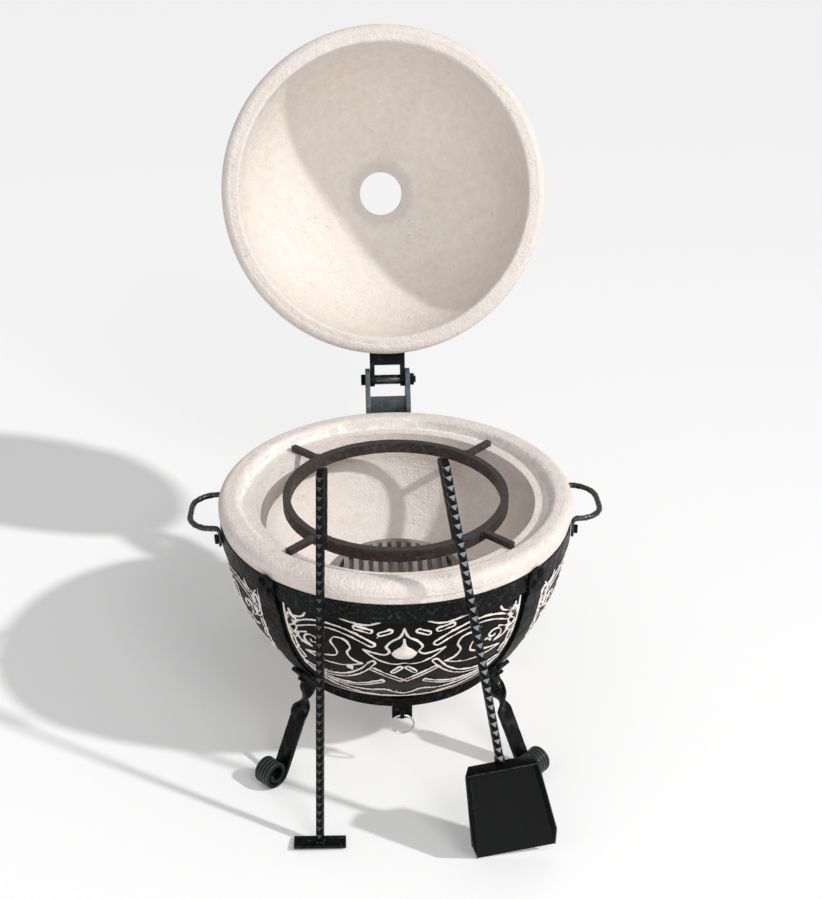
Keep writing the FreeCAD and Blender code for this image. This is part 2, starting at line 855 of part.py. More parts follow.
def make_handle_bolts():
    bolts = []
    length = S["hoop_thick"] + S["strap_gap"] + S["tab_thick"]
    for azimuth in (0, 180):
        for side in (-1, 1):
            point, outward = tab_face_point(azimuth, side)
            name = f"handle_bolt_{len(bolts) + 1}"
            bolts.append(fastener(name, facing(point, outward), S["bolt_radius"], length,
                                  S["bolt_head_radius"], S["bolt_head_height"]))
    return group("handle_bolts", bolts)


# Hinge: forged bracket on the bowl, bolt and nut

PIN_Y = S["rim_radius"] + S["pin_behind"]
PIN_Z = RIM + S["pin_lift"]
CHEEK_IN = S["cheek_outer"] - S["cheek_thick"]
ARM_OUT = CHEEK_IN - S["arm_clear"]
ARM_IN = ARM_OUT - S["arm_thick"]


def make_hinge_bracket():
    body = new_body("hinge_bracket")
    front = S["rim_radius"] + S["cheek_front_clear"]
    plate_back = front + S["bracket_plate_thick"]
    low = HOOP_LOW
    notch = HOOP_TOP + 2
    weld = root(HOOP_OUTER * HOOP_OUTER - CHEEK_IN * CHEEK_IN) + 0.2
    cross = new_sketch(body, "YZ_Plane")
    plate_front = front + S["bracket_plate_set"]
    rectangle(cross, plate_front, low, plate_front + S["bracket_plate_thick"],
              PIN_Z - S["bracket_plate_top"])
    pad(body, cross, CHEEK_IN * 2, midplane=True)
    cheek = new_sketch(body, "YZ_Plane", lift=CHEEK_IN)
    back = PIN_Y + S["cheek_back"]
    corner = S["cheek_back"] * 0.6
    outline(cheek, [
        (weld, low),
        (plate_back + 14, low),
        (back, PIN_Z - S["cheek_back"] * 2),
        (back, PIN_Z + S["cheek_top"] - corner, corner),
        (back - corner, PIN_Z + S["cheek_top"]),
        (PIN_Y - S["cheek_back"] + corner, PIN_Z + S["cheek_top"], corner),
        (PIN_Y - S["cheek_back"], PIN_Z + S["cheek_top"] - corner),
        (front, PIN_Z - S["cheek_back"] * 2),
        (front, notch),
        (weld, notch),
    ])
    plate = pad(body, cheek, S["cheek_thick"])
    angle = S["lid_angle"]
    stop_near = S["arm_half_height"] + S["stop_clear"]
    side = S["stop_side"]
    reach = S["cheek_back"] - side / 2

    def behind_arm(away, along):
        """Point by the open arm: away from its back edge, along it from the pin."""
        return (PIN_Y + cosine(angle - 90) * away + sine(angle - 90) * along,
                PIN_Z - sine(angle - 90) * away + cosine(angle - 90) * along)

    stop = new_sketch(body, "YZ_Plane", lift=CHEEK_IN - S["arm_thick"])
    outline(stop, [
        behind_arm(stop_near, reach - side),
        behind_arm(stop_near + side, reach - side),
        behind_arm(stop_near + side, reach),
        behind_arm(stop_near, reach),
    ])
    stop_pad = pad(body, stop, S["arm_thick"] + 2)
    hole = new_sketch(body, "YZ_Plane", lift=CHEEK_IN - 1)
    circle(hole, PIN_Y, PIN_Z, S["pin_radius"] + S["pin_clearance"])
    bore = pocket(body, hole, S["cheek_thick"] + 2, reverse=True)
    mirror(body, [plate, stop_pad, bore], "YZ_Plane")
    return body


def along_x(x):
    """Placement with its Z along +X at the hinge pin."""
    return Placement(Vector(x, number(PIN_Y), number(PIN_Z)), Rotation(Vector(0, 0, 1), Vector(1, 0, 0)))


def make_hinge_bolt():
    head_at = -number(S["cheek_outer"])
    length = S["cheek_outer"] * 2 + S["hinge_head_height"] + S["hinge_bolt_tail"]
    place = along_x(head_at).multiply(Placement(Vector(), Rotation(Vector(1, 0, 0), 180)))
    bolt = fastener("hinge_bolt", place, S["pin_radius"], length,
                    S["hinge_head_radius"], S["hinge_head_height"])
    bolt.Label = "hinge_bolt"
    NODES.append(bolt)
    return bolt


def make_hinge_nut():
    body = new_body("hinge_nut")
    sketch = new_sketch(body, "YZ_Plane", lift=S["cheek_outer"])
    radius = S["hinge_head_radius"]
    rise = radius * (math.sqrt(3) / 2)
    corners = [(radius, 0), (radius / 2, rise), (-radius / 2, rise),
               (-radius, 0), (-radius / 2, -rise), (radius / 2, -rise)]
    outline(sketch, [(PIN_Y + across, PIN_Z + up) for across, up in corners])
    circle(sketch, PIN_Y, PIN_Z, S["pin_radius"] + S["pin_clearance"])
    pad(body, sketch, S["hinge_head_height"])
    return body


# Lid, drawn closed and swung open about the hinge pin

LID_Z = RIM_TOP + S["lid_seat_gap"]
DOME_ARC = S["rim_radius"] - S["crown_radius"]
CROWN_Z = LID_Z + S["rim_round"] + DOME_ARC
DOME_Z = LID_Z + S["rim_round"]
LID_HOOP_LOW = LID_Z + S["lid_hoop_rise"]
LID_HOOP_TOP = LID_HOOP_LOW + S["lid_hoop_width"]
LID_HOOP_SEAT = S["rim_radius"] - S["lid_hoop_inset"]
LID_HOOP_OUTER = LID_HOOP_SEAT + S["seat_gap"] + S["lid_hoop_thick"]
LID_DEPTH = S["rim_round"] + DOME_ARC - S["crown_wall"]


def lid_open():
    """Placement that swings a closed lid piece open."""
    pin = Vector(0, number(PIN_Y), number(PIN_Z))
    return Placement(Vector(), Rotation(Vector(1, 0, 0), -number(S["lid_angle"])), pin)


def dome(height, offset=0):
    """Radius of the dome, or of a surface offset from it, at a height."""
    return S["crown_radius"] + root((DOME_ARC + offset) * (DOME_ARC + offset)
                                    - (height - DOME_Z) * (height - DOME_Z))


def make_lid():
    body = new_body("lid")
    inner_arc = LID_DEPTH - S["lid_edge_round"]
    inner = S["rim_radius"] - S["lid_wall"]
    sketch = new_sketch(body, "XZ_Plane")
    outline(sketch, [
        (inner + S["lid_edge_round"], LID_Z),
        (S["rim_radius"] - S["rim_round"], LID_Z, S["rim_round"]),
        (S["rim_radius"], DOME_Z, DOME_ARC),
        (dome(LID_HOOP_LOW), LID_HOOP_LOW),
        (LID_HOOP_SEAT, LID_HOOP_LOW),
        (LID_HOOP_SEAT, LID_HOOP_TOP),
        (dome(LID_HOOP_TOP), LID_HOOP_TOP, DOME_ARC),
        (S["crown_radius"], CROWN_Z),
        (S["vent_radius"], CROWN_Z),
        (S["vent_radius"], LID_Z + LID_DEPTH),
        (inner - inner_arc, LID_Z + LID_DEPTH, -inner_arc),
        (inner, LID_Z + S["lid_edge_round"], S["lid_edge_round"]),
    ])
    revolve(body, sketch)
    body.Placement = lid_open()
    return body


def make_lid_hoop():
    body = new_body("lid_hoop")
    sketch = new_sketch(body, "XZ_Plane")
    rectangle(sketch, LID_HOOP_SEAT + S["seat_gap"], LID_HOOP_LOW,
              LID_HOOP_OUTER, LID_HOOP_TOP)
    revolve(body, sketch)
    body.Placement = lid_open()
    return body


def make_lid_strap(name, azimuth):
    body = new_body(name)
    inner = S["strap_gap"]
    outer = S["strap_gap"] + S["lid_strap_thick"]
    low = LID_HOOP_TOP + S["strap_gap"]
    end = S["collar_outer"] + S["strap_gap"]
    sketch = new_sketch(body, "XZ_Plane")
    outline(sketch, [
        (dome(low, inner), low),
        (dome(low, outer), low, DOME_ARC + outer),
        (S["crown_radius"], CROWN_Z + outer),
        (end, CROWN_Z + outer),
        (end, CROWN_Z + inner),
        (S["crown_radius"], CROWN_Z + inner, -(DOME_ARC + inner)),
    ])
    pad(body, sketch, S["lid_strap_width"], midplane=True)
    body.Placement = lid_open().multiply(turned(azimuth))
    return body


def make_lid_bracket():
    body = new_body("lid_bracket")
    plate_low = PIN_Z - S["arm_half_height"]
    cross = new_sketch(body, "YZ_Plane")
    rectangle(cross, LID_HOOP_OUTER + 0.3, plate_low,
              PIN_Y - S["lid_plate_clear"], plate_low + S["lid_plate_thick"])
    pad(body, cross, ARM_IN * 2, midplane=True)
    arm = new_sketch(body, "YZ_Plane", lift=ARM_IN)
    half = S["arm_half_height"]
    seat = root(LID_HOOP_OUTER * LID_HOOP_OUTER - ARM_IN * ARM_IN) + S["arm_seat_gap"]
    outline(arm, [
        (seat, PIN_Z - half),
        (PIN_Y, PIN_Z - half, half),
        (PIN_Y + half, PIN_Z, half),
        (PIN_Y, PIN_Z + half),
        (seat, PIN_Z + half),
    ])
    bar = pad(body, arm, S["arm_thick"])
    hole = new_sketch(body, "YZ_Plane", lift=ARM_IN - 1)
    circle(hole, PIN_Y, PIN_Z, S["pin_radius"] + S["pin_clearance"])
    bore = pocket(body, hole, S["arm_thick"] + 2, reverse=True)
    mirror(body, [bar, bore], "YZ_Plane")
    body.Placement = lid_open()
    return body


def make_hinge_sleeve():
    body = new_body("hinge_sleeve")
    sketch = new_sketch(body, "YZ_Plane")
    circle(sketch, PIN_Y, PIN_Z, S["sleeve_radius"])
    circle(sketch, PIN_Y, PIN_Z, S["pin_radius"] + S["pin_clearance"])
    pad(body, sketch, ARM_IN * 2, midplane=True)
    body.Placement = lid_open()
    return body


def make_lid_handle():
    """Bow handle half way up the front strap, on two feet that follow the strap."""
    body = new_body("lid_handle")
    face = DOME_ARC + S["strap_gap"] + S["lid_strap_thick"] + S["strap_gap"]
    top = face + S["lid_handle_foot_thick"]
    middle = S["lid_handle_angle"]
    spread = S["lid_handle_spread"]
    corner = S["lid_handle_corner"]
    reach = face + S["lid_handle_standoff"]
    start = root(face * face - spread * spread) + 1.5

    def on_dome(out, along):
        """Point out from the dome's arc centre at the handle's middle, and up along the strap."""
        return (S["crown_radius"] + cosine(middle) * out - sine(middle) * along,
                DOME_Z + sine(middle) * out + cosine(middle) * along)

    for side in (-1, 1):
        middle_angle = math.degrees(math.asin(number(spread) / number(face))) * side
        low = middle + middle_angle - S["lid_handle_foot"]
        high = middle + middle_angle + S["lid_handle_foot"]
        foot = new_sketch(body, "XZ_Plane")
        outline(foot, [
            (S["crown_radius"] + cosine(low) * face, DOME_Z + sine(low) * face),
            (S["crown_radius"] + cosine(low) * top, DOME_Z + sine(low) * top, top),
            (S["crown_radius"] + cosine(high) * top, DOME_Z + sine(high) * top),
            (S["crown_radius"] + cosine(high) * face, DOME_Z + sine(high) * face, -face),
        ])
        pad(body, foot, S["lid_handle_foot_width"], midplane=True)
    path = new_sketch(body, "XZ_Plane")
    outline(path, [
        on_dome(start, -spread),
        on_dome(reach - corner, -spread) + (corner,),
        on_dome(reach, -spread + corner),
        on_dome(reach, spread - corner) + (corner,),
        on_dome(reach - corner, spread),
        on_dome(start, spread),
    ], closed=False)
    begin = on_dome(start, -spread)
    outward = Vector(number(cosine(middle)), 0, number(sine(middle)))
    section = new_sketch(body, "XY_Plane",
                         place=facing(Vector(number(begin[0]), 0, number(begin[1])), outward))
    section.setExpression("AttachmentOffset.Base.x", begin[0].formula)
    section.setExpression("AttachmentOffset.Base.z", begin[1].formula)
    circle(section, 0, 0, S["handle_bar_radius"])
    bar = body.newObject("PartDesign::AdditivePipe", "lid_handle_bar")
    bar.Profile = section
    bar.Spine = path
    body.Placement = lid_open().multiply(turned(-90))
    return body


def make_vent_collar():
    body = new_body("vent_collar")
    sketch = new_sketch(body, "XY_Plane", lift=CROWN_Z + S["strap_gap"])
    circle(sketch, 0, 0, S["collar_outer"])
    circle(sketch, 0, 0, S["collar_inner"])
    pad(body, sketch, S["collar_thick"])
    point = Vector(0, number(S["cover_pivot"]), number(CROWN_Z) + 20)
    drill(body, point, Vector(0, 0, 1), BOLT_HOLE, number(S["collar_thick"]) * 6)
    body.Placement = lid_open()
    return body


COVER_Z = CROWN_Z + S["strap_gap"] + S["collar_thick"] + S["cover_gap"]


def cover_swung():
    """Placement of the vent cover, swung half round its pivot to hang clear of the vent."""
    pivot = Vector(0, number(S["cover_pivot"]), 0)
    return lid_open().multiply(Placement(Vector(), Rotation(Vector(0, 0, 1), 180), pivot))


def make_vent_cover():
    body = new_body("vent_cover")
    sketch = new_sketch(body, "XY_Plane", lift=COVER_Z)
    circle(sketch, 0, 0, S["cover_radius"])
    pad(body, sketch, S["cover_thick"])
    ear = new_sketch(body, "XY_Plane", lift=COVER_Z)
    pivot = S["cover_pivot"]
    half = S["cover_ear"]
    outline(ear, [(-half, 0), (half, 0), (half, pivot, half), (0, pivot + half, half),
                  (-half, pivot)])
    pad(body, ear, S["cover_thick"])
    knob = new_sketch(body, "XY_Plane", lift=COVER_Z)
    circle(knob, 0, 0, S["cover_knob_radius"])
    pad(body, knob, S["cover_knob_height"])
    point = Vector(0, number(pivot), number(COVER_Z) + 20)
    drill(body, point, Vector(0, 0, 1), S["bolt_radius"] + S["pin_clearance"],
          number(S["collar_thick"]) * 6)
    body.Placement = cover_swung()
    return body


def make_cover_pivot():
    top = number(COVER_Z + S["cover_thick"] + S["cover_gap"])
    length = S["cover_gap"] + S["cover_thick"] + S["cover_gap"] + S["collar_thick"]
    place = lid_open().multiply(
        Placement(Vector(0, number(S["cover_pivot"]), top), Rotation()))
    bolt = fastener("cover_pivot", place, S["bolt_radius"], length,
                    S["bolt_head_radius"], S["bolt_head_height"])
    bolt.Label = "cover_pivot"
    NODES.append(bolt)
    return bolt


# Cauldron ring with its four arms on the ledge

TRIVET_ARM_LOW = LEDGE + S["rest_gap"]
TRIVET_TOP = TRIVET_ARM_LOW + S["trivet_arm_height"]
TRIVET_RADIUS = S["rim_radius"] - S["trivet_inset"]


def make_trivet_ring():
    body = new_body("cauldron_ring")
    sketch = new_sketch(body, "XY_Plane", lift=TRIVET_TOP)
    circle(sketch, 0, 0, TRIVET_RADIUS)
    circle(sketch, 0, 0, TRIVET_RADIUS - S["trivet_bar"])
    pad(body, sketch, S["trivet_height"], reverse=True)
    return body


def make_trivet_arm(corner):
    body = new_body(f"ring_arm_{corner}")
    half = S["trivet_arm_width"] / 2
    sketch = new_sketch(body, "XY_Plane", lift=TRIVET_ARM_LOW)
    rectangle(sketch, TRIVET_RADIUS, -half, S["rim_radius"] - S["trivet_arm_inset"], half)
    pad(body, sketch, S["trivet_arm_height"])
    body.Placement = turned(azimuth_of(corner))
    return body


# Charcoal grate

def grate_low():
    """Height at which the grate's lower edge meets the bowl's wall."""
    radius = S["grate_radius"]
    return CAVITY_Z - root(CAVITY_RADIUS * CAVITY_RADIUS - radius * radius) + S["rest_gap"]


def make_grate():
    body = new_body("charcoal_grate")
    low = grate_low()
    rim = new_sketch(body, "XY_Plane", lift=low)
    circle(rim, 0, 0, S["grate_radius"])
    circle(rim, 0, 0, S["grate_radius"] - S["grate_rim"])
    pad(body, rim, S["grate_height"])
    inner = S["grate_radius"] - S["grate_rim"]
    bars = new_sketch(body, "XY_Plane", lift=low)
    half = S["grate_bar"] / 2
    side_count = int(number(inner) // number(S["grate_pitch"]))
    for step in range(-side_count, side_count + 1):
        across = S["grate_pitch"] * step
        reach = inner + S["grate_rim"] / 2
        length = root(reach * reach - across * across)
        rectangle(bars, across - half, -length, across + half, length)
    pad(body, bars, S["grate_height"])
    return body


# Air damper under the bowl, its rails and its pull ring

STEM_TOP = DAMPER_TOP
EYE_Z = STEM_TOP - S["tab_drop"] + S["eye_rise"]
STEM_REACH = FOOT_RADIUS + S["stem_beyond"]
EYE_Y = -(STEM_REACH + S["eye_side"] / 2)


def make_damper():
    body = new_body("air_damper")
    half = S["damper_half"]
    stem = S["stem_half"]
    plate = new_sketch(body, "XY_Plane", lift=DAMPER_LOW)
    outline(plate, [(-half, -half), (-stem, -half), (-stem, -STEM_REACH),
                    (stem, -STEM_REACH), (stem, -half), (half, -half),
                    (half, half), (-half, half)])
    pad(body, plate, S["damper_thick"])
    tab = new_sketch(body, "YZ_Plane")
    rectangle(tab, -STEM_REACH, STEM_TOP - S["tab_drop"],
              -STEM_REACH + S["damper_thick"], STEM_TOP)
    pad(body, tab, stem * 2, midplane=True)
    eye = new_sketch(body, "YZ_Plane")
    side = S["eye_side"]
    rectangle(eye, -STEM_REACH - side, EYE_Z - side / 2, -STEM_REACH, EYE_Z + side / 2)
    pad(body, eye, side * 0.8, midplane=True)
    hole = new_sketch(body, "YZ_Plane")
    circle(hole, EYE_Y, EYE_Z, S["ring_wire_radius"] + S["ring_play"])
    pocket(body, hole, side * 2, midplane=True)
    return body


def make_pull_ring():
    body = new_body("pull_ring")
    sketch = new_sketch(body, "XZ_Plane", lift=-EYE_Y)
    centre = EYE_Z - S["ring_radius"]
    path_sketch = sketch
    circle(path_sketch, 0, centre, S["ring_radius"])
    section = new_sketch(body, "YZ_Plane")
    circle(section, EYE_Y, EYE_Z, S["ring_wire_radius"])
    ring = body.newObject("PartDesign::AdditivePipe", "pull_ring_wire")
    ring.Profile = section
    ring.Spine = path_sketch
    return body


RAIL_OUT = S["damper_half"] + 1 + S["rail_sheet"] + S["rail_flange"]
FOOT_INNER = FOOT_RADIUS - S["foot_wall"]
RAIL_FRONT = root(FOOT_INNER * FOOT_INNER - RAIL_OUT * RAIL_OUT) - S["rail_end_gap"]


def rail_screw_places():
    across = number(S["damper_half"] + S["rail_sheet"] + S["rail_flange"] / 2) + 1
    inset = number(S["rail_back"]) / 2
    front = inset - number(RAIL_FRONT)
    back = inset
    return [(side * across, y) for side in (-1, 1) for y in (front, back)]


def make_rail(name, side):
    """Joggled sheet rail: flange on the bowl, web beside the damper and lip under it."""
    body = new_body(name)
    sheet = S["rail_sheet"]
    web = S["damper_half"] + 1
    lip_top = DAMPER_LOW - S["damper_gap"]
    sketch = new_sketch(body, "XZ_Plane", lift=-S["rail_back"])
    corners = [
        (web, BOWL_UNDERSIDE),
        (web, lip_top),
        (web - S["rail_lip"], lip_top),
        (web - S["rail_lip"], lip_top - sheet),
        (web + sheet, lip_top - sheet),
        (web + sheet, BOWL_UNDERSIDE - sheet),
        (web + sheet + S["rail_flange"], BOWL_UNDERSIDE - sheet),
        (web + sheet + S["rail_flange"], BOWL_UNDERSIDE),
    ]
    outline(sketch, [(across * side, up) for across, up in corners])
    pad(body, sketch, S["rail_back"] + RAIL_FRONT)
    for x, y in rail_screw_places():
        if x * side > 0:
            drill(body, Vector(x, y, number(BOWL_UNDERSIDE) - 10), Vector(0, 0, -1),
                  SCREW_HOLE, 20.0)
    return body


def make_rail_screws():
    screws = []
    top = number(BOWL_UNDERSIDE - S["rail_sheet"])
    for x, y in rail_screw_places():
        place = Placement(Vector(x, y, top), Rotation(Vector(1, 0, 0), 180))
        name = f"rail_screw_{len(screws) + 1}"
        screws.append(fastener(name, place, S["screw_radius"], S["screw_depth"] - 1,
                               S["screw_head_radius"], S["screw_head_height"], sides=0))
    return group("rail_screws", screws)


# Fire tools: studded square bars with a folded hook

def studded_bar(studs, pitch, half, rise, base):
    """Square bar along Z whose four sides carry pyramid studs, as one closed shell."""
    corners = [Vector(half, -half, 0), Vector(half, half, 0), Vector(-half, half, 0),
               Vector(-half, -half, 0)]
    outwards = [Vector(1, 0, 0), Vector(0, 1, 0), Vector(-1, 0, 0), Vector(0, -1, 0)]
    faces = []

    def face(*points):
        faces.append(Part.Face(Part.makePolygon(list(points) + [points[0]])))

    for index in range(studs):
        low = Vector(0, 0, base + index * pitch)
        high = Vector(0, 0, base + (index + 1) * pitch)
        for side in range(4):
            first = corners[side]
            second = corners[(side + 1) % 4]
            tip = outwards[side] * (half + rise) + (low + high) / 2
            ring = [first + low, second + low, second + high, first + high]
            for k in range(4):
                face(ring[k], ring[(k + 1) % 4], tip)
    for height in (base, base + studs * pitch):
        face(*[corner + Vector(0, 0, height) for corner in corners])
    shell = Part.Shell(faces)
    solid = Part.Solid(shell)
    if solid.Volume < 0:
        solid.reverse()
    return solid


def tool_rod(name, studs, turn):
    """Rod from local height 0 up, folded back behind itself at the top and turned a little."""
    half = number(S["bar_side"]) / 2
    pitch = number(S["stud_pitch"])
    rise = number(S["stud_height"])
    shaft = studded_bar(studs, pitch, half, rise, 0)
    length = studs * pitch
    step = 2 * half + number(S["hook_gap"])
    tail_length = number(S["hook_stud_count"]) * pitch
    tail = Part.makeBox(2 * half, 2 * half, tail_length, Vector(-half, step - half, length - tail_length))
    cap = Part.makeBox(2 * half, step + 2 * half, 2 * half, Vector(-half, -half, length))
    rod = shaft.fuse([cap, tail]).removeSplitter()
    rod.rotate(Vector(), Vector(0, 0, 1), turn)
    node = doc.addObject("Part::Feature", name)
    node.Label = name
    node.Shape = rod
    NODES.append(node)
    return node


def tool_place(side, beyond, tilt, lean):
    """Stance of a tool: tilted sideways in its own plane, then leaned back."""
    turn = Rotation(Vector(1, 0, 0), -number(lean)).multiply(
        Rotation(Vector(0, 1, 0), number(tilt)))
    front = number(S["rim_radius"] + beyond)
    return Placement(Vector(number(side), -front, 0), turn)


def set_down(nodes, place):
    """Place the pieces of one tool together, with the lowest point on the floor."""
    for node in nodes:
        node.Placement = place
    doc.recompute()
    low = min(node.Shape.optimalBoundingBox(True, False).ZMin for node in nodes)
    for node in nodes:
        node.Placement = Placement(Vector(0, 0, -low), Rotation()).multiply(place)


def make_rake():
    blade = new_body("rake_blade")
    half = S["blade_width"] / 2
    depth = S["blade_depth"] / 2
    sketch = new_sketch(blade, "XY_Plane")
    rectangle(sketch, -half, -depth, half, depth)
    pad(blade, sketch, S["blade_thick"], reverse=True)
    rod = tool_rod("rake_rod", int(SIZES["rake_stud_count"]), -SIZES["rod_turn_angle"])
    set_down([blade, rod], tool_place(-S["rake_side"], S["rake_beyond"], S["rake_tilt_angle"],
                                S["rake_lean_angle"]))


def make_shovel():
    """Folded sheet pan: floor, back wall and two side walls, open at the lip."""
    pan = new_body("shovel_pan")
    half_back = S["pan_back_width"] / 2
    half_lip = S["pan_lip_width"] / 2
    length = S["pan_length"]
    sheet = S["pan_sheet"]
    half_bar = S["bar_side"] / 2
    floor_y = half_bar + S["stud_height"] + 0.4
    floor = new_sketch(pan, "XZ_Plane", lift=-floor_y)
    corners = [(-half_lip, -length), (half_lip, -length), (half_back, 0), (-half_back, 0)]
    outline(floor, corners)
    pad(pan, floor, sheet, reverse=True)
    walls = new_sketch(pan, "XZ_Plane", lift=-floor_y)
    outline(walls, [
        (-half_lip, -length), (-half_lip + sheet, -length), (-half_back + sheet, -sheet),
        (half_back - sheet, -sheet), (half_lip - sheet, -length), (half_lip, -length),
        (half_back, 0), (-half_back, 0),
    ])
    pad(pan, walls, S["pan_wall"])
    rod = tool_rod("shovel_rod", int(SIZES["shovel_stud_count"]), SIZES["rod_turn_angle"])
    place = tool_place(S["shovel_side"], S["shovel_beyond"], -S["shovel_tilt_angle"],
                       S["shovel_lean_angle"])
    raise_root = Placement(Vector(0, 0, number(length)), Rotation())
    set_down([pan, rod], place.multiply(raise_root))


def build():
    make_bowl()
    make_upper_hoop()
    make_base_hoop()
    for corner in CORNERS:
        make_strap(corner)
        make_leg(corner)
    make_hoop_rivets()
    make_leg_bolts()
    make_handle("handle_right", 0)
    make_handle("handle_left", 180)
    make_handle_bolts()
    make_hinge_bracket()
    make_hinge_bolt()
    make_hinge_nut()
    make_lid()
    make_lid_hoop()
    for name, azimuth in (("lid_strap_right", 0), ("lid_strap_back", 90),
                          ("lid_strap_left", 180), ("lid_strap_front", 270)):
        make_lid_strap(name, azimuth)
    make_lid_bracket()
    make_hinge_sleeve()
    make_lid_handle()
    make_vent_collar()
    make_vent_cover()
    make_cover_pivot()
    make_trivet_ring()
    for corner in CORNERS:
        make_trivet_arm(corner)
    make_grate()
    make_damper()
    make_pull_ring()
    make_rail("damper_rail_right", 1)
    make_rail("damper_rail_left", -1)
    make_rail_screws()
    make_rake()
    make_shovel()
    doc.recompute()


def centre_on_floor():
    """Slide the whole object along Y so that its box is centred over the origin."""
    boxes = [node.Shape.optimalBoundingBox(True, False) for node in NODES]
    middle = (min(box.YMin for box in boxes) + max(box.YMax for box in boxes)) / 2
    slide = Placement(Vector(0, -middle, 0), Rotation())
    for node in NODES:
        node.Placement = slide.multiply(node.Placement)
    doc.recompute()
    print(f"slide along Y {-middle:.4f}")


def check():
    for item in doc.Objects:
        if "Invalid" in item.State or "Error" in item.State:
            raise RuntimeError(f"{item.Name} of {item.Label} failed: {item.State}")
    for node in NODES:
        if node.Shape.isNull() or not node.Shape.isValid():
            raise RuntimeError(f"{node.Label} has no valid shape")


def export():
    os.makedirs("parts", exist_ok=True)
    for node in NODES:
        node.Shape.exportStep(f"parts/{node.Label}.step")
    print(f"{len(NODES)} nodes")


build()
check()
centre_on_floor()
check()
export()
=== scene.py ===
"""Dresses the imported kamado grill: fired clay, painted relief, forged and hammered iron."""

import json
import math

import bmesh
import bpy
import numpy as np
from bpy.props import FloatProperty, FloatVectorProperty, IntProperty, PointerProperty
from mathutils import Matrix, Vector, kdtree, noise


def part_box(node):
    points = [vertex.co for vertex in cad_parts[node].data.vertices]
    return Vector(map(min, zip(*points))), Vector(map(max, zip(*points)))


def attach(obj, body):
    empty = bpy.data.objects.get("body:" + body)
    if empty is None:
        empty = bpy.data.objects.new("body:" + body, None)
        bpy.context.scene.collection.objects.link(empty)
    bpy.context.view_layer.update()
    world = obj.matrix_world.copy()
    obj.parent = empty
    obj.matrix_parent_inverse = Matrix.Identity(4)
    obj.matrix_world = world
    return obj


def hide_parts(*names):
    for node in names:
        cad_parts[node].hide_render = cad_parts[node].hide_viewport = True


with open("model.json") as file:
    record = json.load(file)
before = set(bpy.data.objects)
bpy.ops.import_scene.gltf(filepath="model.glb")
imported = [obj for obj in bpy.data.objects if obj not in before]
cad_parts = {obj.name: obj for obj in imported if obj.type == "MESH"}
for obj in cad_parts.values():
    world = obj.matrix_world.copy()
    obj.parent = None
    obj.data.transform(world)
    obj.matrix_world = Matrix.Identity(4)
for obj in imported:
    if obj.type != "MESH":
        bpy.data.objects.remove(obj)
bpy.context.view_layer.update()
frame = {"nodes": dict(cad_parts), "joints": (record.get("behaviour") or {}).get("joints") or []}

bl_info = {
    "name": "Kamado grill dressing",
    "version": (1, 0, 0),
    "blender": (4, 5, 0),
    "location": "3D View > Sidebar > Grill",
    "description": "Builds the finished surfaces of a ceramic kamado grill around its packed model",
    "category": "Object",
}

NODES = frame["nodes"]
CORNERS = {"back_right": 45, "back_left": 135, "front_left": 225, "front_right": 315}
SIDES = {"right": 0, "back": 90, "left": 180, "front": 270}
MM = 0.001
SEAT = 0.3            # mm between a piece and what carries it
DOME_LIFT = 14        # mm from the closed lid's edge up to the centre of its outer curve
LID_HOOP_RISE = 20    # mm from the closed lid's edge up to its hoop
LID_HOOP_WIDTH = 30   # mm
LID_BAR = 4           # mm, thickness of the lid's hoop and straps
LEG_SPLAY = 27.5      # degrees between a leg and the upright
FOOT_FLAT = 0.5       # mm worn off under a rolled foot
TAB_WIDTH, TAB_THICK = 17, 5   # mm, flattened ends of a carrying handle
HANDLE_BOLT_HEIGHT = 354       # mm above the floor
BAR_STEP = 1.3        # mm between two rings of a handle's skin
RING_BAR = 12         # mm, thickness of the cauldron ring
ARM_END = 232         # mm from the axis to the end of a ring arm
ACROSS = (0.0, 1.0, 0.0)
UP = (0.0, 0.0, 1.0)


# What the frame says about places, in mm apart from the bowl's axis and the hinge pin

def box_mm(node):
    """Lowest and highest corner of a node."""
    return np.array([tuple(corner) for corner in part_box(node)]) * 1000


def radius_of(node):
    low, high = box_mm(node)
    return (high[0] - low[0]) / 2


AXIS_Y = (sum(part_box("upper_hoop"), Vector()) / 2).y
HOOP_LOW, HOOP_TOP = box_mm("upper_hoop")[:, 2]
HOOP_RADIUS = radius_of("upper_hoop")
RIM_TOP = box_mm("bowl")[1][2]
RIM_RADIUS = radius_of("bowl")
LID_EDGE = RIM_TOP + SEAT
DOME_CENTRE = LID_EDGE + DOME_LIFT
LID_HINGE = next(joint for joint in frame["joints"] if joint["name"] == "lid_hinge")
PIN = Vector(LID_HINGE["pos_m"])


def turned_about_axis(degrees):
    """Turn of a mesh that is already in place, about the bowl's axis."""
    shift = Matrix.Translation((0, AXIS_Y, 0))
    return shift @ Matrix.Rotation(math.radians(degrees), 4, "Z") @ shift.inverted()


def lid_open():
    """Swing of a piece drawn on the closed lid."""
    swing = math.radians(LID_HINGE["range_deg"][1])
    return Matrix.Translation(PIN) @ Matrix.Rotation(-swing, 4, "X") @ Matrix.Translation(-PIN)


# Sizes and colours that a user would change

def length(name, description, default):
    return FloatProperty(name=name, description=description, default=default, min=0,
                         subtype="DISTANCE", unit="LENGTH", precision=5)


def amount(name, description, default):
    return FloatProperty(name=name, description=description, default=default, min=0)


def slant(name, description, degrees):
    return FloatProperty(name=name, description=description, default=math.radians(degrees),
                         subtype="ANGLE")


def colour(name, description, default):
    return FloatVectorProperty(name=name, description=description, default=default,
                               size=3, min=0, max=1, subtype="COLOR")


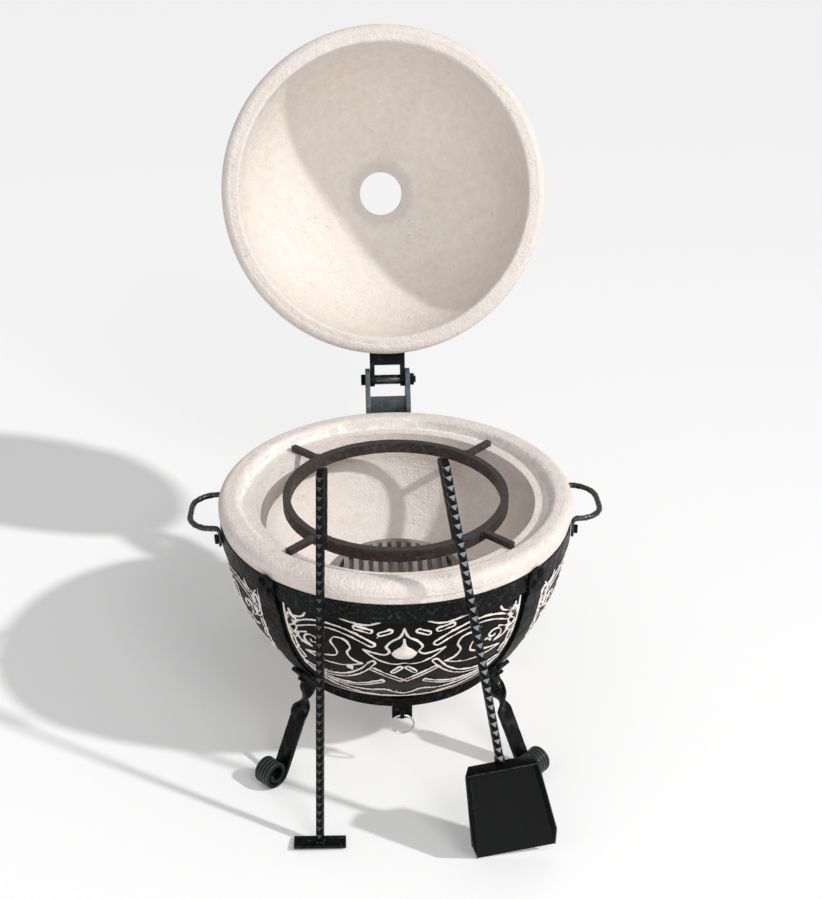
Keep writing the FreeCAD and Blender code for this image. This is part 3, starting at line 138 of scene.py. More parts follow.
class ClayFinish(bpy.types.PropertyGroup):
    """Colours of the fired clay and of the paint on its relief."""
    clay: colour("Clay", "Fired clay, clean", (0.775, 0.705, 0.652))
    clay_warm: colour("Warm clay", "Flushed patches of the clay", (0.69, 0.595, 0.53))
    clay_pale: colour("Pale clay", "Chalky bloom on the high spots", (0.87, 0.825, 0.785))
    # Colour of a pale ragged run along the rim's step.
    step_pale: colour("Chalk", "White run along the rim's step", (0.93, 0.905, 0.875))
    slip: colour("Slip", "Grey slip round the vent", (0.55, 0.515, 0.48))
    speck: colour("Speck", "Iron specks in the clay", (0.23, 0.15, 0.10))
    paint: colour("Paint", "Black paint between the ridges", (0.0030, 0.0029, 0.0024))
    paint_worn: colour("Worn paint", "Brown-black where it is thin", (0.0065, 0.0058, 0.0040))
    peel: length("Peel size", "Width of one dimple of the clay's skin", 0.0038)
    rings: length("Throwing rings", "Spacing of the potter's rings", 0.006)
    step_pale_in: length("Chalk run", "From the rim's outside in to the white run", 0.034)


class IronFinish(bpy.types.PropertyGroup):
    """Colours of the ironwork."""
    black: colour("Black", "Stove paint on the forgings", (0.0024, 0.0027, 0.0030))
    rubbed: colour("Rubbed iron", "Bare iron on worn edges", (0.135, 0.145, 0.15))
    # The two facet colours are painted highlights laid on the studs' up-facing facets; the shovel's
    # are brighter than the rake's.
    facet_highlight: colour("Facet", "Upper facets of the rake's studs", (0.060, 0.068, 0.072))
    bright_facet_highlight: colour("Bright facet", "Upper facets of the shovel's studs, brushed bright",
                         (0.22, 0.235, 0.24))
    scale: colour("Scale", "Grey mill scale on top of the cauldron ring", (0.050, 0.047, 0.044))
    # Painted highlight: the scale colour lightens the cauldron ring's up-facing top faces.
    dust: colour("Dust", "Dry dust in the dents", (0.042, 0.040, 0.036))
    hinge: colour("Hinge paint", "Thin paint on the lower hinge plates", (0.075, 0.097, 0.104))
    hinge_dark: colour("Dark hinge paint", "Paint on the lid's arms", (0.0060, 0.0068, 0.0074))
    ring: colour("Ring iron", "Mill scale on the cauldron ring", (0.036, 0.030, 0.027))
    rust: colour("Rust", "Light rust on the cauldron ring and grate", (0.085, 0.052, 0.036))
    grate: colour("Grate iron", "Dry casting of the charcoal grate", (0.26, 0.235, 0.215))
    wire: colour("Wire", "Bright wire of the pull ring", (0.62, 0.60, 0.56))
    dent: length("Dent size", "Width of one hammer mark", 0.0075)
    leather: length("Hoop dent size", "Width of one mark of the hoops' hammering", 0.0042)


class ReliefSizes(bpy.types.PropertyGroup):
    """The moulded relief between the straps."""
    belly_arc: length("Belly arc", "Radius of the bowl's outer curve", 0.316)
    belly_in: length("Belly arc centre", "How far its centre lies beyond the axis", 0.0463)
    belly_height: length("Belly centre height", "Height of its centre", 0.3593)
    low: length("Low edge", "Height where the relief ends", 0.1545)
    top: length("Top edge", "Height where the relief runs under the hoop", 0.3445)
    ridge: length("Ridge width", "Width of a drawn ridge", 0.0040)
    rise: length("Ridge height", "How far a ridge stands out", 0.0024)
    swell: length("Swell", "How far a filled form stands out", 0.0011)
    across: IntProperty(name="Across", description="Steps across one panel", default=300, min=8)
    up: IntProperty(name="Up", description="Steps up one panel", default=150, min=8)


class BarSizes(bpy.types.PropertyGroup):
    """Bars of the ironwork, as packed."""
    hoop: length("Hoop thickness", "Flat bar of the bowl's hoop", 0.0045)
    strap_wide: length("Strap width", "Flat bar of the bowl's straps", 0.036)
    strap_thick: length("Strap thickness", "Flat bar of the bowl's straps", 0.004)
    strap_low: length("Strap end", "Height of the straps' lower ends", 0.148)
    strap_rise: length("Strap rise", "How far a strap stands over the hoop", 0.005)
    joggle: length("Joggle", "Run in which a strap steps off the hoop", 0.022)
    leg_wide: length("Leg width", "Flat bar of a leg", 0.028)
    leg_thick: length("Leg thickness", "Flat bar of a leg", 0.007)
    leg_reach: length("Leg reach", "From the axis to the middle of the rolled foot", 0.28676)
    leg_top: length("Leg top", "Height of the lap's upper end", 0.177)
    leg_bolt: length("Leg bolt", "Height of the bolt through the lap", 0.166)
    knee: length("Knee", "Height at which the leg leaves the belly", 0.147)
    twist_low: length("Twist start", "Up the bar from the roll's middle", 0.08903)
    twist_long: length("Twist length", "Run of the half twist", 0.047)
    roll: length("Roll radius", "Outer radius of the rolled foot", 0.024)
    roll_step: length("Roll step", "How much a half turn draws in", 0.0045)
    rib: length("Rib depth", "Grooves between the foot's five ribs", 0.0012)
    lid_strap: length("Lid strap width", "Flat bar of the lid's straps", 0.030)
    dome_arc: length("Dome arc", "Radius of the lid's outer curve", 0.207)
    crown: length("Crown", "Flat middle of the lid, half its width", 0.068)
    lid_strap_in: length("Lid strap end", "From the lid's axis to a strap's inner end", 0.0643)
    handle: length("Handle bar", "Radius of the handles' round bar", 0.0048)
    handle_spread: length("Handle spread", "Half the width of a handle", 0.052)
    handle_reach: length("Handle reach", "From the axis to the middle of a grip", 0.319)
    handle_corner: length("Handle corner", "Bend of a handle", 0.038)
    lid_handle_spread: length("Lid handle spread", "Half the width of the lid's handle", 0.044)
    lid_handle_reach: length("Lid handle reach", "How far the bow stands off", 0.036)
    bar: length("Tool bar", "Side of the fire tools' square bar", 0.0096)
    stud: length("Stud height", "How far a pyramid stands out", 0.0013)
    pitch: length("Stud pitch", "Length of one pyramid", 0.0136)


class ToolSizes(bpy.types.PropertyGroup):
    """Stance and sizes of the rake and the shovel."""
    rake_side: length("Rake side", "From the axis to the left", 0.128)
    rake_front: length("Rake front", "From the axis to the front", 0.339)
    shovel_side: length("Shovel side", "From the axis to the right", 0.156)
    shovel_front: length("Shovel front", "From the axis to the front", 0.384)
    rake_tilt: slant("Rake tilt", "Sideways, to the right at the top", 1.8)
    rake_lean: slant("Rake lean", "Towards the bowl", 7.9)
    shovel_tilt: slant("Shovel tilt", "Sideways, to the right at the top", -9.8)
    shovel_lean: slant("Shovel lean", "Towards the bowl", 10.7)
    pan: length("Pan length", "Back wall to lip", 0.150)
    pan_lip: length("Pan lip", "Width at the lip", 0.115)


class StageSizes(bpy.types.PropertyGroup):
    """Camera, lamps and floor."""
    camera_place: FloatVectorProperty(
        name="Camera place", description="Where the photographer stood, from the bowl's axis",
        size=3, subtype="TRANSLATION", unit="LENGTH", default=(-0.07293, -1.76354, 1.39851))
    camera_fall: slant("Camera fall", "How far the camera looks down", 27.68)
    camera_turn: slant("Camera turn", "How far the camera looks to the right", 3.14)
    focal: amount("Focal length", "Lens, in mm on a 36 mm frame", 52.06)
    sun: amount("Sun", "Strength of the sun from the right", 1.95)
    sun_width: slant("Sun width", "How wide the sun is, which softens its shadows", 2.5)
    key_power: amount("Key lamp", "Watts of the lamp above the camera", 18.0)
    front_power: amount("Front panel", "Watts of the long low panel", 26.0)
    sky: amount("Sky", "Strength of the plain sky", 0.45)
    floor: colour("Floor", "Pale floor", (0.93, 0.93, 0.93))
    floor_glow: amount("Floor glow", "White added to the floor where the camera sees it", 0.09)


# Node trees

def feed(inlet, value):
    """Join an inlet to a socket or a signal, or set its plain value."""
    value = value.socket if isinstance(value, Signal) else value
    if isinstance(value, bpy.types.NodeSocket):
        inlet.id_data.links.new(value, inlet)
    else:
        inlet.default_value = value


def put(tree, kind, sockets=None, **values):
    """Add a node, set its values and feed its inlets."""
    node = tree.nodes.new(kind)
    for name, value in values.items():
        setattr(node, name, value)
    for key, value in (sockets or {}).items():
        feed(node.inputs[key], value)
    return node


class Signal:
    """Socket of a node tree that is reckoned with like a number."""

    def __init__(self, tree, socket):
        self.tree, self.socket = tree, socket

    def reckon(self, operation, *terms):
        node = put(self.tree, "ShaderNodeMath", dict(enumerate(terms)), operation=operation)
        return Signal(self.tree, node.outputs[0])

    def __add__(self, other):
        return self.reckon("ADD", self, other)

    def __sub__(self, other):
        return self.reckon("SUBTRACT", self, other)

    def __rsub__(self, other):
        return self.reckon("SUBTRACT", other, self)

    def __mul__(self, other):
        return self.reckon("MULTIPLY", self, other)

    def __truediv__(self, other):
        return self.reckon("DIVIDE", self, other)

    def __rtruediv__(self, other):
        return self.reckon("DIVIDE", other, self)

    def __abs__(self):
        return self.reckon("ABSOLUTE", self)

    def larger(self, other):
        return self.reckon("MAXIMUM", self, other)

    def remap(self, low, high, to_low=0.0, to_high=1.0):
        """Smooth step from one span of values to another."""
        node = put(self.tree, "ShaderNodeMapRange",
                   {"Value": self, "From Min": low, "From Max": high, "To Min": to_low,
                    "To Max": to_high}, interpolation_type="SMOOTHSTEP")
        return Signal(self.tree, node.outputs["Result"])


def signal(tree, kind, outlet, sockets=None, **values):
    """Signal of a new node's outlet."""
    return Signal(tree, put(tree, kind, sockets, **values).outputs[outlet])


def vectors(tree, operation, *terms, outlet=0):
    """One step of vector maths."""
    return signal(tree, "ShaderNodeVectorMath", outlet, dict(enumerate(terms)),
                  operation=operation)


def scaled(tree, vector, size):
    """Vector divided by a size, given as a number or a signal."""
    return signal(tree, "ShaderNodeVectorMath", 0, {0: vector, "Scale": 1 / size},
                  operation="SCALE")


def grain(tree, vector, size, detail=3.0, roughness=0.5, distortion=0.0):
    """Noise whose features are about size metres across."""
    return signal(tree, "ShaderNodeTexNoise", "Fac", {
        "Vector": scaled(tree, vector, size), "Scale": 1.0, "Detail": detail,
        "Roughness": roughness, "Distortion": distortion})


def cells(tree, vector, smoothness=None):
    """Distance within cells one unit across, and a random value for each cell."""
    sockets = {"Vector": vector, "Scale": 1.0}
    if smoothness is not None:
        sockets["Smoothness"] = smoothness
    node = put(tree, "ShaderNodeTexVoronoi", sockets,
               feature="F1" if smoothness is None else "SMOOTH_F1")
    return Signal(tree, node.outputs["Distance"]), Signal(tree, node.outputs["Color"])


def attribute(tree, name):
    return signal(tree, "ShaderNodeAttribute", "Fac", attribute_name=name)


def tint(tree, factor, first, second):
    """Mix of two colours, each a socket or a plain colour."""
    first, second = (value if isinstance(value, bpy.types.NodeSocket) else (*value[:3], 1)
                     for value in (first, second))
    node = put(tree, "ShaderNodeMix", {0: factor, 6: first, 7: second}, data_type="RGBA")
    return node.outputs[2]


def layered(tree, base, coats):
    """Colour under coats, each a mask and a colour, laid in order."""
    for mask, coat in coats:
        base = tint(tree, mask, base, coat)
    return base


def new_group(name, inlets, outlets, family="Shader"):
    """Node group; returns its tree, signals of its inlets and the sockets of its outlets."""
    tree = bpy.data.node_groups.new(name, f"{family}NodeTree")
    for label, kind, default in inlets:
        item = tree.interface.new_socket(label, in_out="INPUT", socket_type=f"NodeSocket{kind}")
        if default is not None:
            item.default_value = default
    for label, kind in outlets:
        tree.interface.new_socket(label, in_out="OUTPUT", socket_type=f"NodeSocket{kind}")
    given = tree.nodes.new("NodeGroupInput").outputs
    signals = {label: Signal(tree, given[label]) for label, *_ in inlets}
    return tree, signals, tree.nodes.new("NodeGroupOutput").inputs


def clay_skin_group():
    """Peel, pits, blotches, specks and chalky bloom of fired clay."""
    tree, given, out = new_group(
        "clay skin",
        [("Vector", "Vector", None), ("Peel Size", "Float", 0.0045), ("Blotch Size", "Float", 0.09)],
        [("Height", "Float"), ("Blotch", "Float"), ("Bloom", "Float"), ("Speck", "Float")])
    place, peel = given["Vector"], given["Peel Size"]
    dimple = cells(tree, scaled(tree, place, peel), smoothness=0.7)[0]
    fine = grain(tree, place, peel, detail=4.0, roughness=0.62)
    coarse = grain(tree, place, peel * 4.5, detail=4.0, roughness=0.55)
    broad = grain(tree, place, given["Blotch Size"], detail=5.0, roughness=0.6, distortion=0.6)
    depth, lot = cells(tree, scaled(tree, place, peel * 2.6))
    pit = depth.remap(0.05, 0.16, 1.0, 0.0) * lot.remap(0.86, 0.90)
    feed(out["Height"], dimple * -0.5 + fine * 0.55 + coarse * 1.2 - pit * 0.9)
    feed(out["Blotch"], broad.remap(0.36, 0.68))
    feed(out["Bloom"], (coarse + fine * 0.45).remap(0.62, 0.92))
    feed(out["Speck"], pit)
    return tree


def hammered_group():
    """Hammer marks, dust in their hollows and rubbed high spots."""
    tree, given, out = new_group(
        "hammered iron",
        [("Vector", "Vector", None), ("Dent Size", "Float", 0.009)],
        [("Height", "Float"), ("Rubbed", "Float"), ("Dust", "Float"), ("Cloud", "Float")])
    place, size = given["Vector"], given["Dent Size"]
    even = scaled(tree, place, size)
    warp = signal(tree, "ShaderNodeTexNoise", "Color", {"Vector": even, "Scale": 1.0, "Detail": 2.0})
    near = cells(tree, vectors(tree, "ADD", even, scaled(tree, warp, 2.0)), smoothness=0.35)[0]
    fine = grain(tree, place, size * 0.22, detail=4.0, roughness=0.65)
    cloud = grain(tree, place, size * 6.0, detail=4.0, roughness=0.6)
    feed(out["Height"], near * near + fine * 0.22)
    feed(out["Rubbed"], (near + fine * 0.5).remap(0.78, 1.1))
    feed(out["Dust"], near.remap(0.45, 0.1) * fine * cloud.remap(0.42, 0.66))
    feed(out["Cloud"], cloud)
    return tree


def edge_group():
    """Mask of sharp outward edges, from how far a rounded normal leaves the true one."""
    tree, given, out = new_group(
        "edge wear", [("Radius", "Float", 0.0012), ("Vector", "Vector", None)],
        [("Edge", "Float")])
    bevel = signal(tree, "ShaderNodeBevel", 0, {"Radius": given["Radius"]}, samples=4)
    normal = signal(tree, "ShaderNodeNewGeometry", "Normal")
    bent = vectors(tree, "DOT_PRODUCT", bevel, normal, outlet="Value").remap(0.995, 0.86)
    broken = grain(tree, given["Vector"], 0.006, detail=4.0, roughness=0.7)
    feed(out["Edge"], bent * broken.remap(0.36, 0.62))
    return tree


GROUPS = {}


def use_group(tree, maker, sockets):
    """Signals of a shared group, which is built once."""
    if maker not in GROUPS:
        GROUPS[maker] = maker()
    node = put(tree, "ShaderNodeGroup", node_tree=GROUPS[maker])
    for key, value in sockets.items():
        feed(node.inputs[key], value)
    return {socket.name: Signal(tree, socket) for socket in node.outputs}


def new_material(name, roughness, specular, metallic=0.0):
    """Material with a Principled shader; returns it, its tree, its inlets and Object coordinates."""
    made = bpy.data.materials.new(name)
    made.use_nodes = True
    tree = made.node_tree
    shader = tree.nodes["Principled BSDF"].inputs
    for label, value in (("Roughness", roughness), ("Metallic", metallic),
                         ("Specular IOR Level", specular)):
        shader[label].default_value = value
    return made, tree, shader, signal(tree, "ShaderNodeTexCoord", "Object")


def bump(tree, shader, height, strength, distance):
    feed(shader["Normal"], signal(tree, "ShaderNodeBump", "Normal", {
        "Height": height, "Strength": strength, "Distance": distance}))


def clay_material(name, swing, slip_from, slip_to, rings, step_pale_radius=None):
    """Bare clay thrown about the bowl's axis or the lid's, with grey slip and a pale run along the
    rim's step.
    """
    look = bpy.context.scene.clay_finish
    made, tree, shader, place = new_material(name, 0.80, 0.30)
    skin = use_group(tree, clay_skin_group,
                     {"Vector": place, "Peel Size": look.peel, "Blotch Size": 0.16})
    flaw = grain(tree, place, 0.030, detail=6.0, roughness=0.7, distortion=0.8)
    mottle = grain(tree, place, 0.011, detail=5.0, roughness=0.65, distortion=0.4)
    drift = grain(tree, place, 0.12, detail=2.0)
    axis = tuple(swing.to_3x3() @ Vector((0, 0, 1)))
    away = vectors(tree, "SUBTRACT", place, tuple(swing @ Vector((0, AXIS_Y, 0))))
    reach = vectors(tree, "LENGTH", vectors(tree, "CROSS_PRODUCT", away, axis), outlet="Value")
    height = vectors(tree, "DOT_PRODUCT", away, axis, outlet="Value")
    run = reach + height + drift * 0.02
    lines = signal(tree, "ShaderNodeTexNoise", "Fac", {
        "W": run / look.rings, "Scale": 1.0, "Detail": 3.0, "Roughness": 0.6},
        noise_dimensions="1D")
    ragged = reach + (flaw - 0.5) * 0.045
    coats = [(skin["Blotch"] * 0.38, look.clay_warm),
             (skin["Bloom"] * 0.30, look.clay_pale),
             (flaw.remap(0.64, 0.80, 0.0, 0.30), look.clay_warm),
             (mottle.remap(0.52, 0.72, 0.0, 0.30), look.slip),
             (mottle.remap(0.46, 0.30, 0.0, 0.45), look.clay_pale),
             (ragged.remap(slip_from, slip_to, 0.50, 0.0), look.slip),
             (lines.remap(0.60, 0.74, 0.0, 0.14 * rings), look.clay_warm),
             (skin["Speck"] * 0.45, look.speck)]
    # Pale ragged ring laid at a set radius along the rim's step.
    if step_pale_radius is not None:
        off = abs(reach + (drift - 0.5) * 0.030 - step_pale_radius)
        mask = off.remap(0.002, 0.007, 1.0, 0.0) * mottle.remap(0.36, 0.56)
        coats.append((mask * 0.85, look.step_pale))
    feed(shader["Base Color"], layered(tree, look.clay, coats))
    feed(shader["Roughness"], skin["Bloom"].remap(0.0, 1.0, 0.72, 0.90))
    bump(tree, shader, skin["Height"] + lines * rings, 0.85, 0.0021)
    return made


def seen_by_camera(tree):
    """1 where the camera looks straight at a surface, 0 elsewhere."""
    return signal(tree, "ShaderNodeLightPath", "Is Camera Ray")


def floor_material():
    """Pale floor that looks a little whiter to the camera than it lights."""
    stage = bpy.context.scene.stage_sizes
    made, tree, shader, _ = new_material("floor", 0.9, 0.5)
    feed(shader["Base Color"], (*stage.floor, 1))
    feed(shader["Emission Color"], (1, 1, 1, 1))
    feed(shader["Emission Strength"], seen_by_camera(tree) * stage.floor_glow)
    return made


def relief_material():
    """Black paint in the relief, rubbed back to cream on the ridges."""
    look = bpy.context.scene.clay_finish
    made, tree, shader, place = new_material("painted_relief", 0.42, 0.08)
    skin = use_group(tree, clay_skin_group,
                     {"Vector": place, "Peel Size": 0.0042, "Blotch Size": 0.05})
    fine = grain(tree, place, 0.0026, detail=5.0, roughness=0.7) - 0.5
    press = grain(tree, place, 0.013, detail=3.0, roughness=0.6) - 0.5
    ragged = attribute(tree, "ridge") + fine + press * 1.3
    smear = attribute(tree, "brush") + fine * 1.3
    cream = ragged.remap(0.36, 0.60).larger(smear.remap(0.60, 0.90, 0.0, 0.9))
    dark = tint(tree, skin["Blotch"], look.paint, look.paint_worn)
    pale = tint(tree, skin["Bloom"], look.clay, look.clay_pale)
    feed(shader["Base Color"], tint(tree, cream, dark, pale))
    feed(shader["Roughness"], cream.remap(0.0, 1.0, 0.38, 0.80))
    bump(tree, shader, skin["Height"], 0.5, 0.0010)
    return made


def iron_material(name, base, dent=0.009, depth=0.0010, roughness=0.36, rubbed=0.55, dust=0.3,
                  second=None, second_amount=0.0, metallic=0.0, specular=0.07, lit=None,
                  lit_from=0.24, edge_width=0.0011, scuffs=0.12, patch_size=0.018):
    """Hammered iron under paint or scale, worn bare on its edges and lighter where a point attribute
    says (wear and painted highlight on the legs' rib crests); given lit, up-facing faces take a
    painted highlight.
    """
    look = bpy.context.scene.iron_finish
    made, tree, shader, place = new_material(name, roughness, specular, metallic)
    marks = use_group(tree, hammered_group, {"Vector": place, "Dent Size": dent})
    edge = use_group(tree, edge_group, {"Radius": edge_width, "Vector": place})["Edge"]
    coats = [(marks["Cloud"].remap(0.35, 0.7), [min(1, 1.35 * c) for c in base])]
    if second is not None:
        patch = grain(tree, place, patch_size, detail=6.0, roughness=0.72)
        coats.append((patch.remap(0.47, 0.66) * second_amount, second))
    # Worn also carries the point attribute, which lays wear and painted highlight on the legs' rib
    # crests.
    worn = (marks["Rubbed"] * scuffs).larger(edge * rubbed).larger(attribute(tree, "bare"))
    coats += [(marks["Dust"] * dust, look.dust), (worn, look.rubbed)]
    # Painted highlight: faces turned up beyond lit_from take the lit colour.
    if lit is not None:
        way = signal(tree, "ShaderNodeTexCoord", "Normal")
        up = signal(tree, "ShaderNodeSeparateXYZ", "Z", {"Vector": way})
        coats.append((up.remap(lit_from, lit_from + 0.03), lit))
    feed(shader["Base Color"], layered(tree, base, coats))
    feed(shader["Roughness"], marks["Cloud"].remap(0.3, 0.7, roughness - 0.07, roughness + 0.13))
    bump(tree, shader, marks["Height"], 0.6, depth)
    return made


def iron_finishes(look):
    """Name and colour of each iron, and how it differs from the plain one."""
    return {
        "black": ("black_iron", look.black, dict(dent=look.dent, depth=0.0016, roughness=0.38)),
        "hoop": ("hammered_hoop", look.black, dict(
            dent=look.leather, depth=0.0011, roughness=0.32, rubbed=0.4, dust=0.2,
            specular=0.10, scuffs=0.16)),
        "forged": ("forged_leg", look.black, dict(
            dent=0.016, depth=0.0012, roughness=0.28, rubbed=0.5, dust=0.2, specular=0.14)),
        "black_fine": ("black_bar", look.black, dict(dent=0.006, depth=0.0005)),
        "hinge": ("hinge_plate", look.hinge, dict(
            dent=0.010, depth=0.0009, second=look.hinge_dark, second_amount=0.55,
            patch_size=0.009, edge_width=0.0018, scuffs=0.35, roughness=0.42, rubbed=0.9,
            specular=0.4)),
        "hinge_dark": ("hinge_arm", look.hinge_dark, dict(
            dent=0.012, depth=0.0004, roughness=0.40, rubbed=0.5)),
        "sleeve": ("hinge_tube", look.hinge_dark, dict(
            dent=0.012, depth=0.0003, roughness=0.24, rubbed=0.5, dust=0.2, specular=0.9)),
        "bolt": ("black_bolt", look.black, dict(
            dent=0.004, depth=0.0002, roughness=0.42, rubbed=0.7)),
        # The ring's up-facing top faces take the scale colour as a painted highlight.
        "ring": ("ring_iron", look.ring, dict(
            dent=0.008, depth=0.0016, roughness=0.5, rubbed=0.5, second=look.rust,
            second_amount=0.75, specular=0.2, lit=look.scale, lit_from=0.6,
            patch_size=0.007, scuffs=0.3)),
        "grate": ("grate_iron", look.grate, dict(
            dent=0.004, depth=0.0005, roughness=0.8, rubbed=0.2, second=look.rust,
            second_amount=0.35, patch_size=0.006)),
        "rail": ("rail_sheet", look.hinge, dict(
            dent=0.02, depth=0.0002, roughness=0.5, rubbed=0.4)),
        # The stud finishes lay a painted highlight on the up-facing facets of the pyramids.
        "stud": ("studded_bar", look.black, dict(
            dent=0.008, depth=0.00012, roughness=0.25, rubbed=0.10, dust=0.0, specular=0.09,
            lit=look.facet_highlight, scuffs=0.0)),
        "stud_bright_highlight": ("bright_studded_bar", look.black, dict(
            dent=0.008, depth=0.00012, roughness=0.25, rubbed=0.12, dust=0.0, specular=0.09,
            lit=look.bright_facet_highlight, scuffs=0.0)),
        "handle": ("handle_bar", look.black, dict(
            dent=0.006, depth=0.0012, roughness=0.24, rubbed=0.4, dust=0.1, specular=0.85)),
        "pan": ("pan_sheet", look.black, dict(
            dent=0.035, depth=0.0003, roughness=0.22, rubbed=1.0, dust=0.0, specular=0.12,
            edge_width=0.0020, scuffs=0.0)),
        "wire": ("bright_wire", look.wire, dict(
            dent=0.006, depth=0.0001, roughness=0.30, rubbed=0.0, dust=0.1, metallic=1.0)),
    }


def new_finish(name):
    """Build a finish by its plain name."""
    scene = bpy.context.scene
    if name == "relief":
        return relief_material()
    if name == "floor":
        return floor_material()
    if name == "clay":
        return clay_material("bowl_clay", Matrix.Identity(4), 0.01, 0.02, 0.3,
                             RIM_RADIUS * MM - scene.clay_finish.step_pale_in)
    if name == "lid_clay":
        return clay_material("lid_clay", lid_open(), 0.050, 0.066, 0.8)
    label, base, differences = iron_finishes(scene.iron_finish)[name]
    return iron_material(label, base, **differences)


MATERIALS = {}


def material(name):
    """Materials by plain name, each built when first asked for."""
    if name not in MATERIALS:
        MATERIALS[name] = new_finish(name)
    return MATERIALS[name]


# Meshes

def added(name, data):
    """New object in the scene."""
    obj = bpy.data.objects.new(name, data)
    bpy.context.scene.collection.objects.link(obj)
    return obj


def mesh_object(name, points, faces, finish, smooth=True):
    mesh = bpy.data.meshes.new(name)
    mesh.from_pydata([tuple(p) for p in points], [], faces)
    mesh.update()
    mesh.materials.append(material(finish))
    mesh.polygons.foreach_set("use_smooth", [smooth] * len(mesh.polygons))
    return added(name, mesh)


def reshaped(mesh, change):
    """Change a mesh as an editable form."""
    form = bmesh.new()
    form.from_mesh(mesh)
    change(form)
    form.to_mesh(mesh)
    form.free()


def face_outward(obj):
    reshaped(obj.data, lambda form: bmesh.ops.recalc_face_normals(form, faces=form.faces))


def write_attribute(obj, name, values):
    layer = obj.data.attributes.new(name, "FLOAT", "POINT")
    layer.data.foreach_set("value", np.asarray(values, dtype=np.float32))


def fit(obj, body, slot, *nodes):
    """Seat a finished piece on its body and hide the nodes that it stands for; the slot is not used.
    """
    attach(obj, body)
    if nodes:
        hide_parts(*nodes)


def in_place(points):
    """Points in mm about the bowl's axis, as metres in the frame."""
    return np.asarray(points, float) * MM + np.array((0, AXIS_Y, 0))


def unit(vectors):
    return vectors / np.linalg.norm(vectors, axis=-1, keepdims=True)


def eased_step(values):
    """Smooth step of values between 0 and 1."""
    return values * values * (3 - 2 * values)


def ring_angles(count):
    return np.linspace(0, 2 * math.pi, count, endpoint=False)


def bar_section(width, thick, corner, across=8, up=2, turns=3):
    """Closed outline of a flat bar with rounded corners."""
    w, t = width / 2 - corner, thick / 2 - corner
    rows = []
    sides = (((-w, -t), (w, -t), -90, across), ((w, -t), (w, t), 0, up),
             ((w, t), (-w, t), 90, across), ((-w, t), (-w, -t), 180, up))
    for first, last, facing, count in sides:
        angle = math.radians(facing)
        push = np.array((math.cos(angle), math.sin(angle))) * corner
        rows += [np.array(first) + push + (np.array(last) - np.array(first)) * k / count
                 for k in range(count + 1)]
        rows += [np.array(last) + corner * np.array((math.cos(a), math.sin(a)))
                 for a in (angle + math.pi / 2 * k / turns for k in range(1, turns))]
    return np.array(rows)


def dished(grid, size, depth, closed):
    """Push a skin inwards by hammer marks of a size."""
    along = np.roll(grid, -1, 0) - np.roll(grid, 1, 0)
    if not closed:
        along[0], along[-1] = grid[1] - grid[0], grid[-1] - grid[-2]
    around = np.roll(grid, -1, 1) - np.roll(grid, 1, 1)
    normal = np.cross(around, along)
    normal /= np.linalg.norm(normal, axis=-1, keepdims=True) + 1e-9
    centre = grid.mean(axis=1, keepdims=True)
    flip = np.sign(np.sum(normal * (grid - centre), axis=-1, keepdims=True))
    flat = (grid / size).reshape(-1, 3)
    near = np.array([noise.voronoi(p)[0][0] for p in flat.tolist()])
    dish = np.clip(1 - near * near * 1.6, 0, 1).reshape(*grid.shape[:2], 1)
    return grid - normal * flip * dish * depth


def skin(grid, closed):
    """Points and faces of a grid of rings, with fans on its open ends."""
    rows, ring = grid.shape[:2]
    points = grid.reshape(-1, 3)
    j, i = np.meshgrid(np.arange(rows if closed else rows - 1), np.arange(ring), indexing="ij")
    j, i = j.ravel(), i.ravel()
    k, n = (j + 1) % rows, (i + 1) % ring
    faces = np.stack([j * ring + i, j * ring + n, k * ring + n, k * ring + i], axis=1).tolist()
    if not closed:
        points = np.concatenate([points, grid[:1].mean(axis=1), grid[-1:].mean(axis=1)])
        low, high = rows * ring, rows * ring + 1
        last = (rows - 1) * ring
        faces += [((q + 1) % ring, q, low) for q in range(ring)]
        faces += [(last + q, last + (q + 1) % ring, high) for q in range(ring)]
    return points, faces


def skinned(name, grid, finish, closed=False, turn=None):
    """Piece whose skin is a grid of rings in mm about the bowl's axis."""
    points, faces = skin(grid, closed)
    obj = mesh_object(name, in_place(points), faces, finish)
    face_outward(obj)
    if turn is not None:
        obj.data.transform(turn)
    return obj


def sweep(name, rail, sections, finish, closed=False, dent=10.0, depth=0.4, turn=None):
    """Hammered bar of given sections along a rail of places, side ways and face ways."""
    place, side, face = np.broadcast_arrays(*(np.asarray(item, float) for item in rail))
    sections = np.broadcast_to(sections, (len(place), *np.shape(sections)[-2:]))
    grid = place[:, None] + side[:, None] * sections[..., :1] + face[:, None] * sections[..., 1:]
    return skinned(name, dished(grid, dent, depth, closed), finish, closed, turn)


def rounded_path(corners, radii, step):
    """Evenly spaced points along straight runs joined by arcs."""
    corners = [np.array(c, float) for c in corners]
    path = [corners[0]]
    for index in range(1, len(corners) - 1):
        a = unit(corners[index] - corners[index - 1])
        b = unit(corners[index + 1] - corners[index])
        theta = math.acos(float(np.clip(a @ b, -1, 1)))
        radius = radii[index]
        begin = corners[index] - a * radius * math.tan(theta / 2)
        inward = unit(b - a * (a @ b))
        path += [begin + inward * radius + radius * (a * math.sin(q) - inward * math.cos(q))
                 for q in np.linspace(0, theta, 12)]
    path.append(corners[-1])
    return spaced(np.array(path), step)


def spaced(path, step):
    gaps = np.linalg.norm(np.diff(path, axis=0), axis=1)
    reach = np.concatenate([[0], np.cumsum(gaps)])
    count = max(2, round(reach[-1] / step))
    at = np.linspace(0, reach[-1], count + 1)
    return np.stack([np.interp(at, reach, path[:, k]) for k in range(path.shape[1])], axis=1)


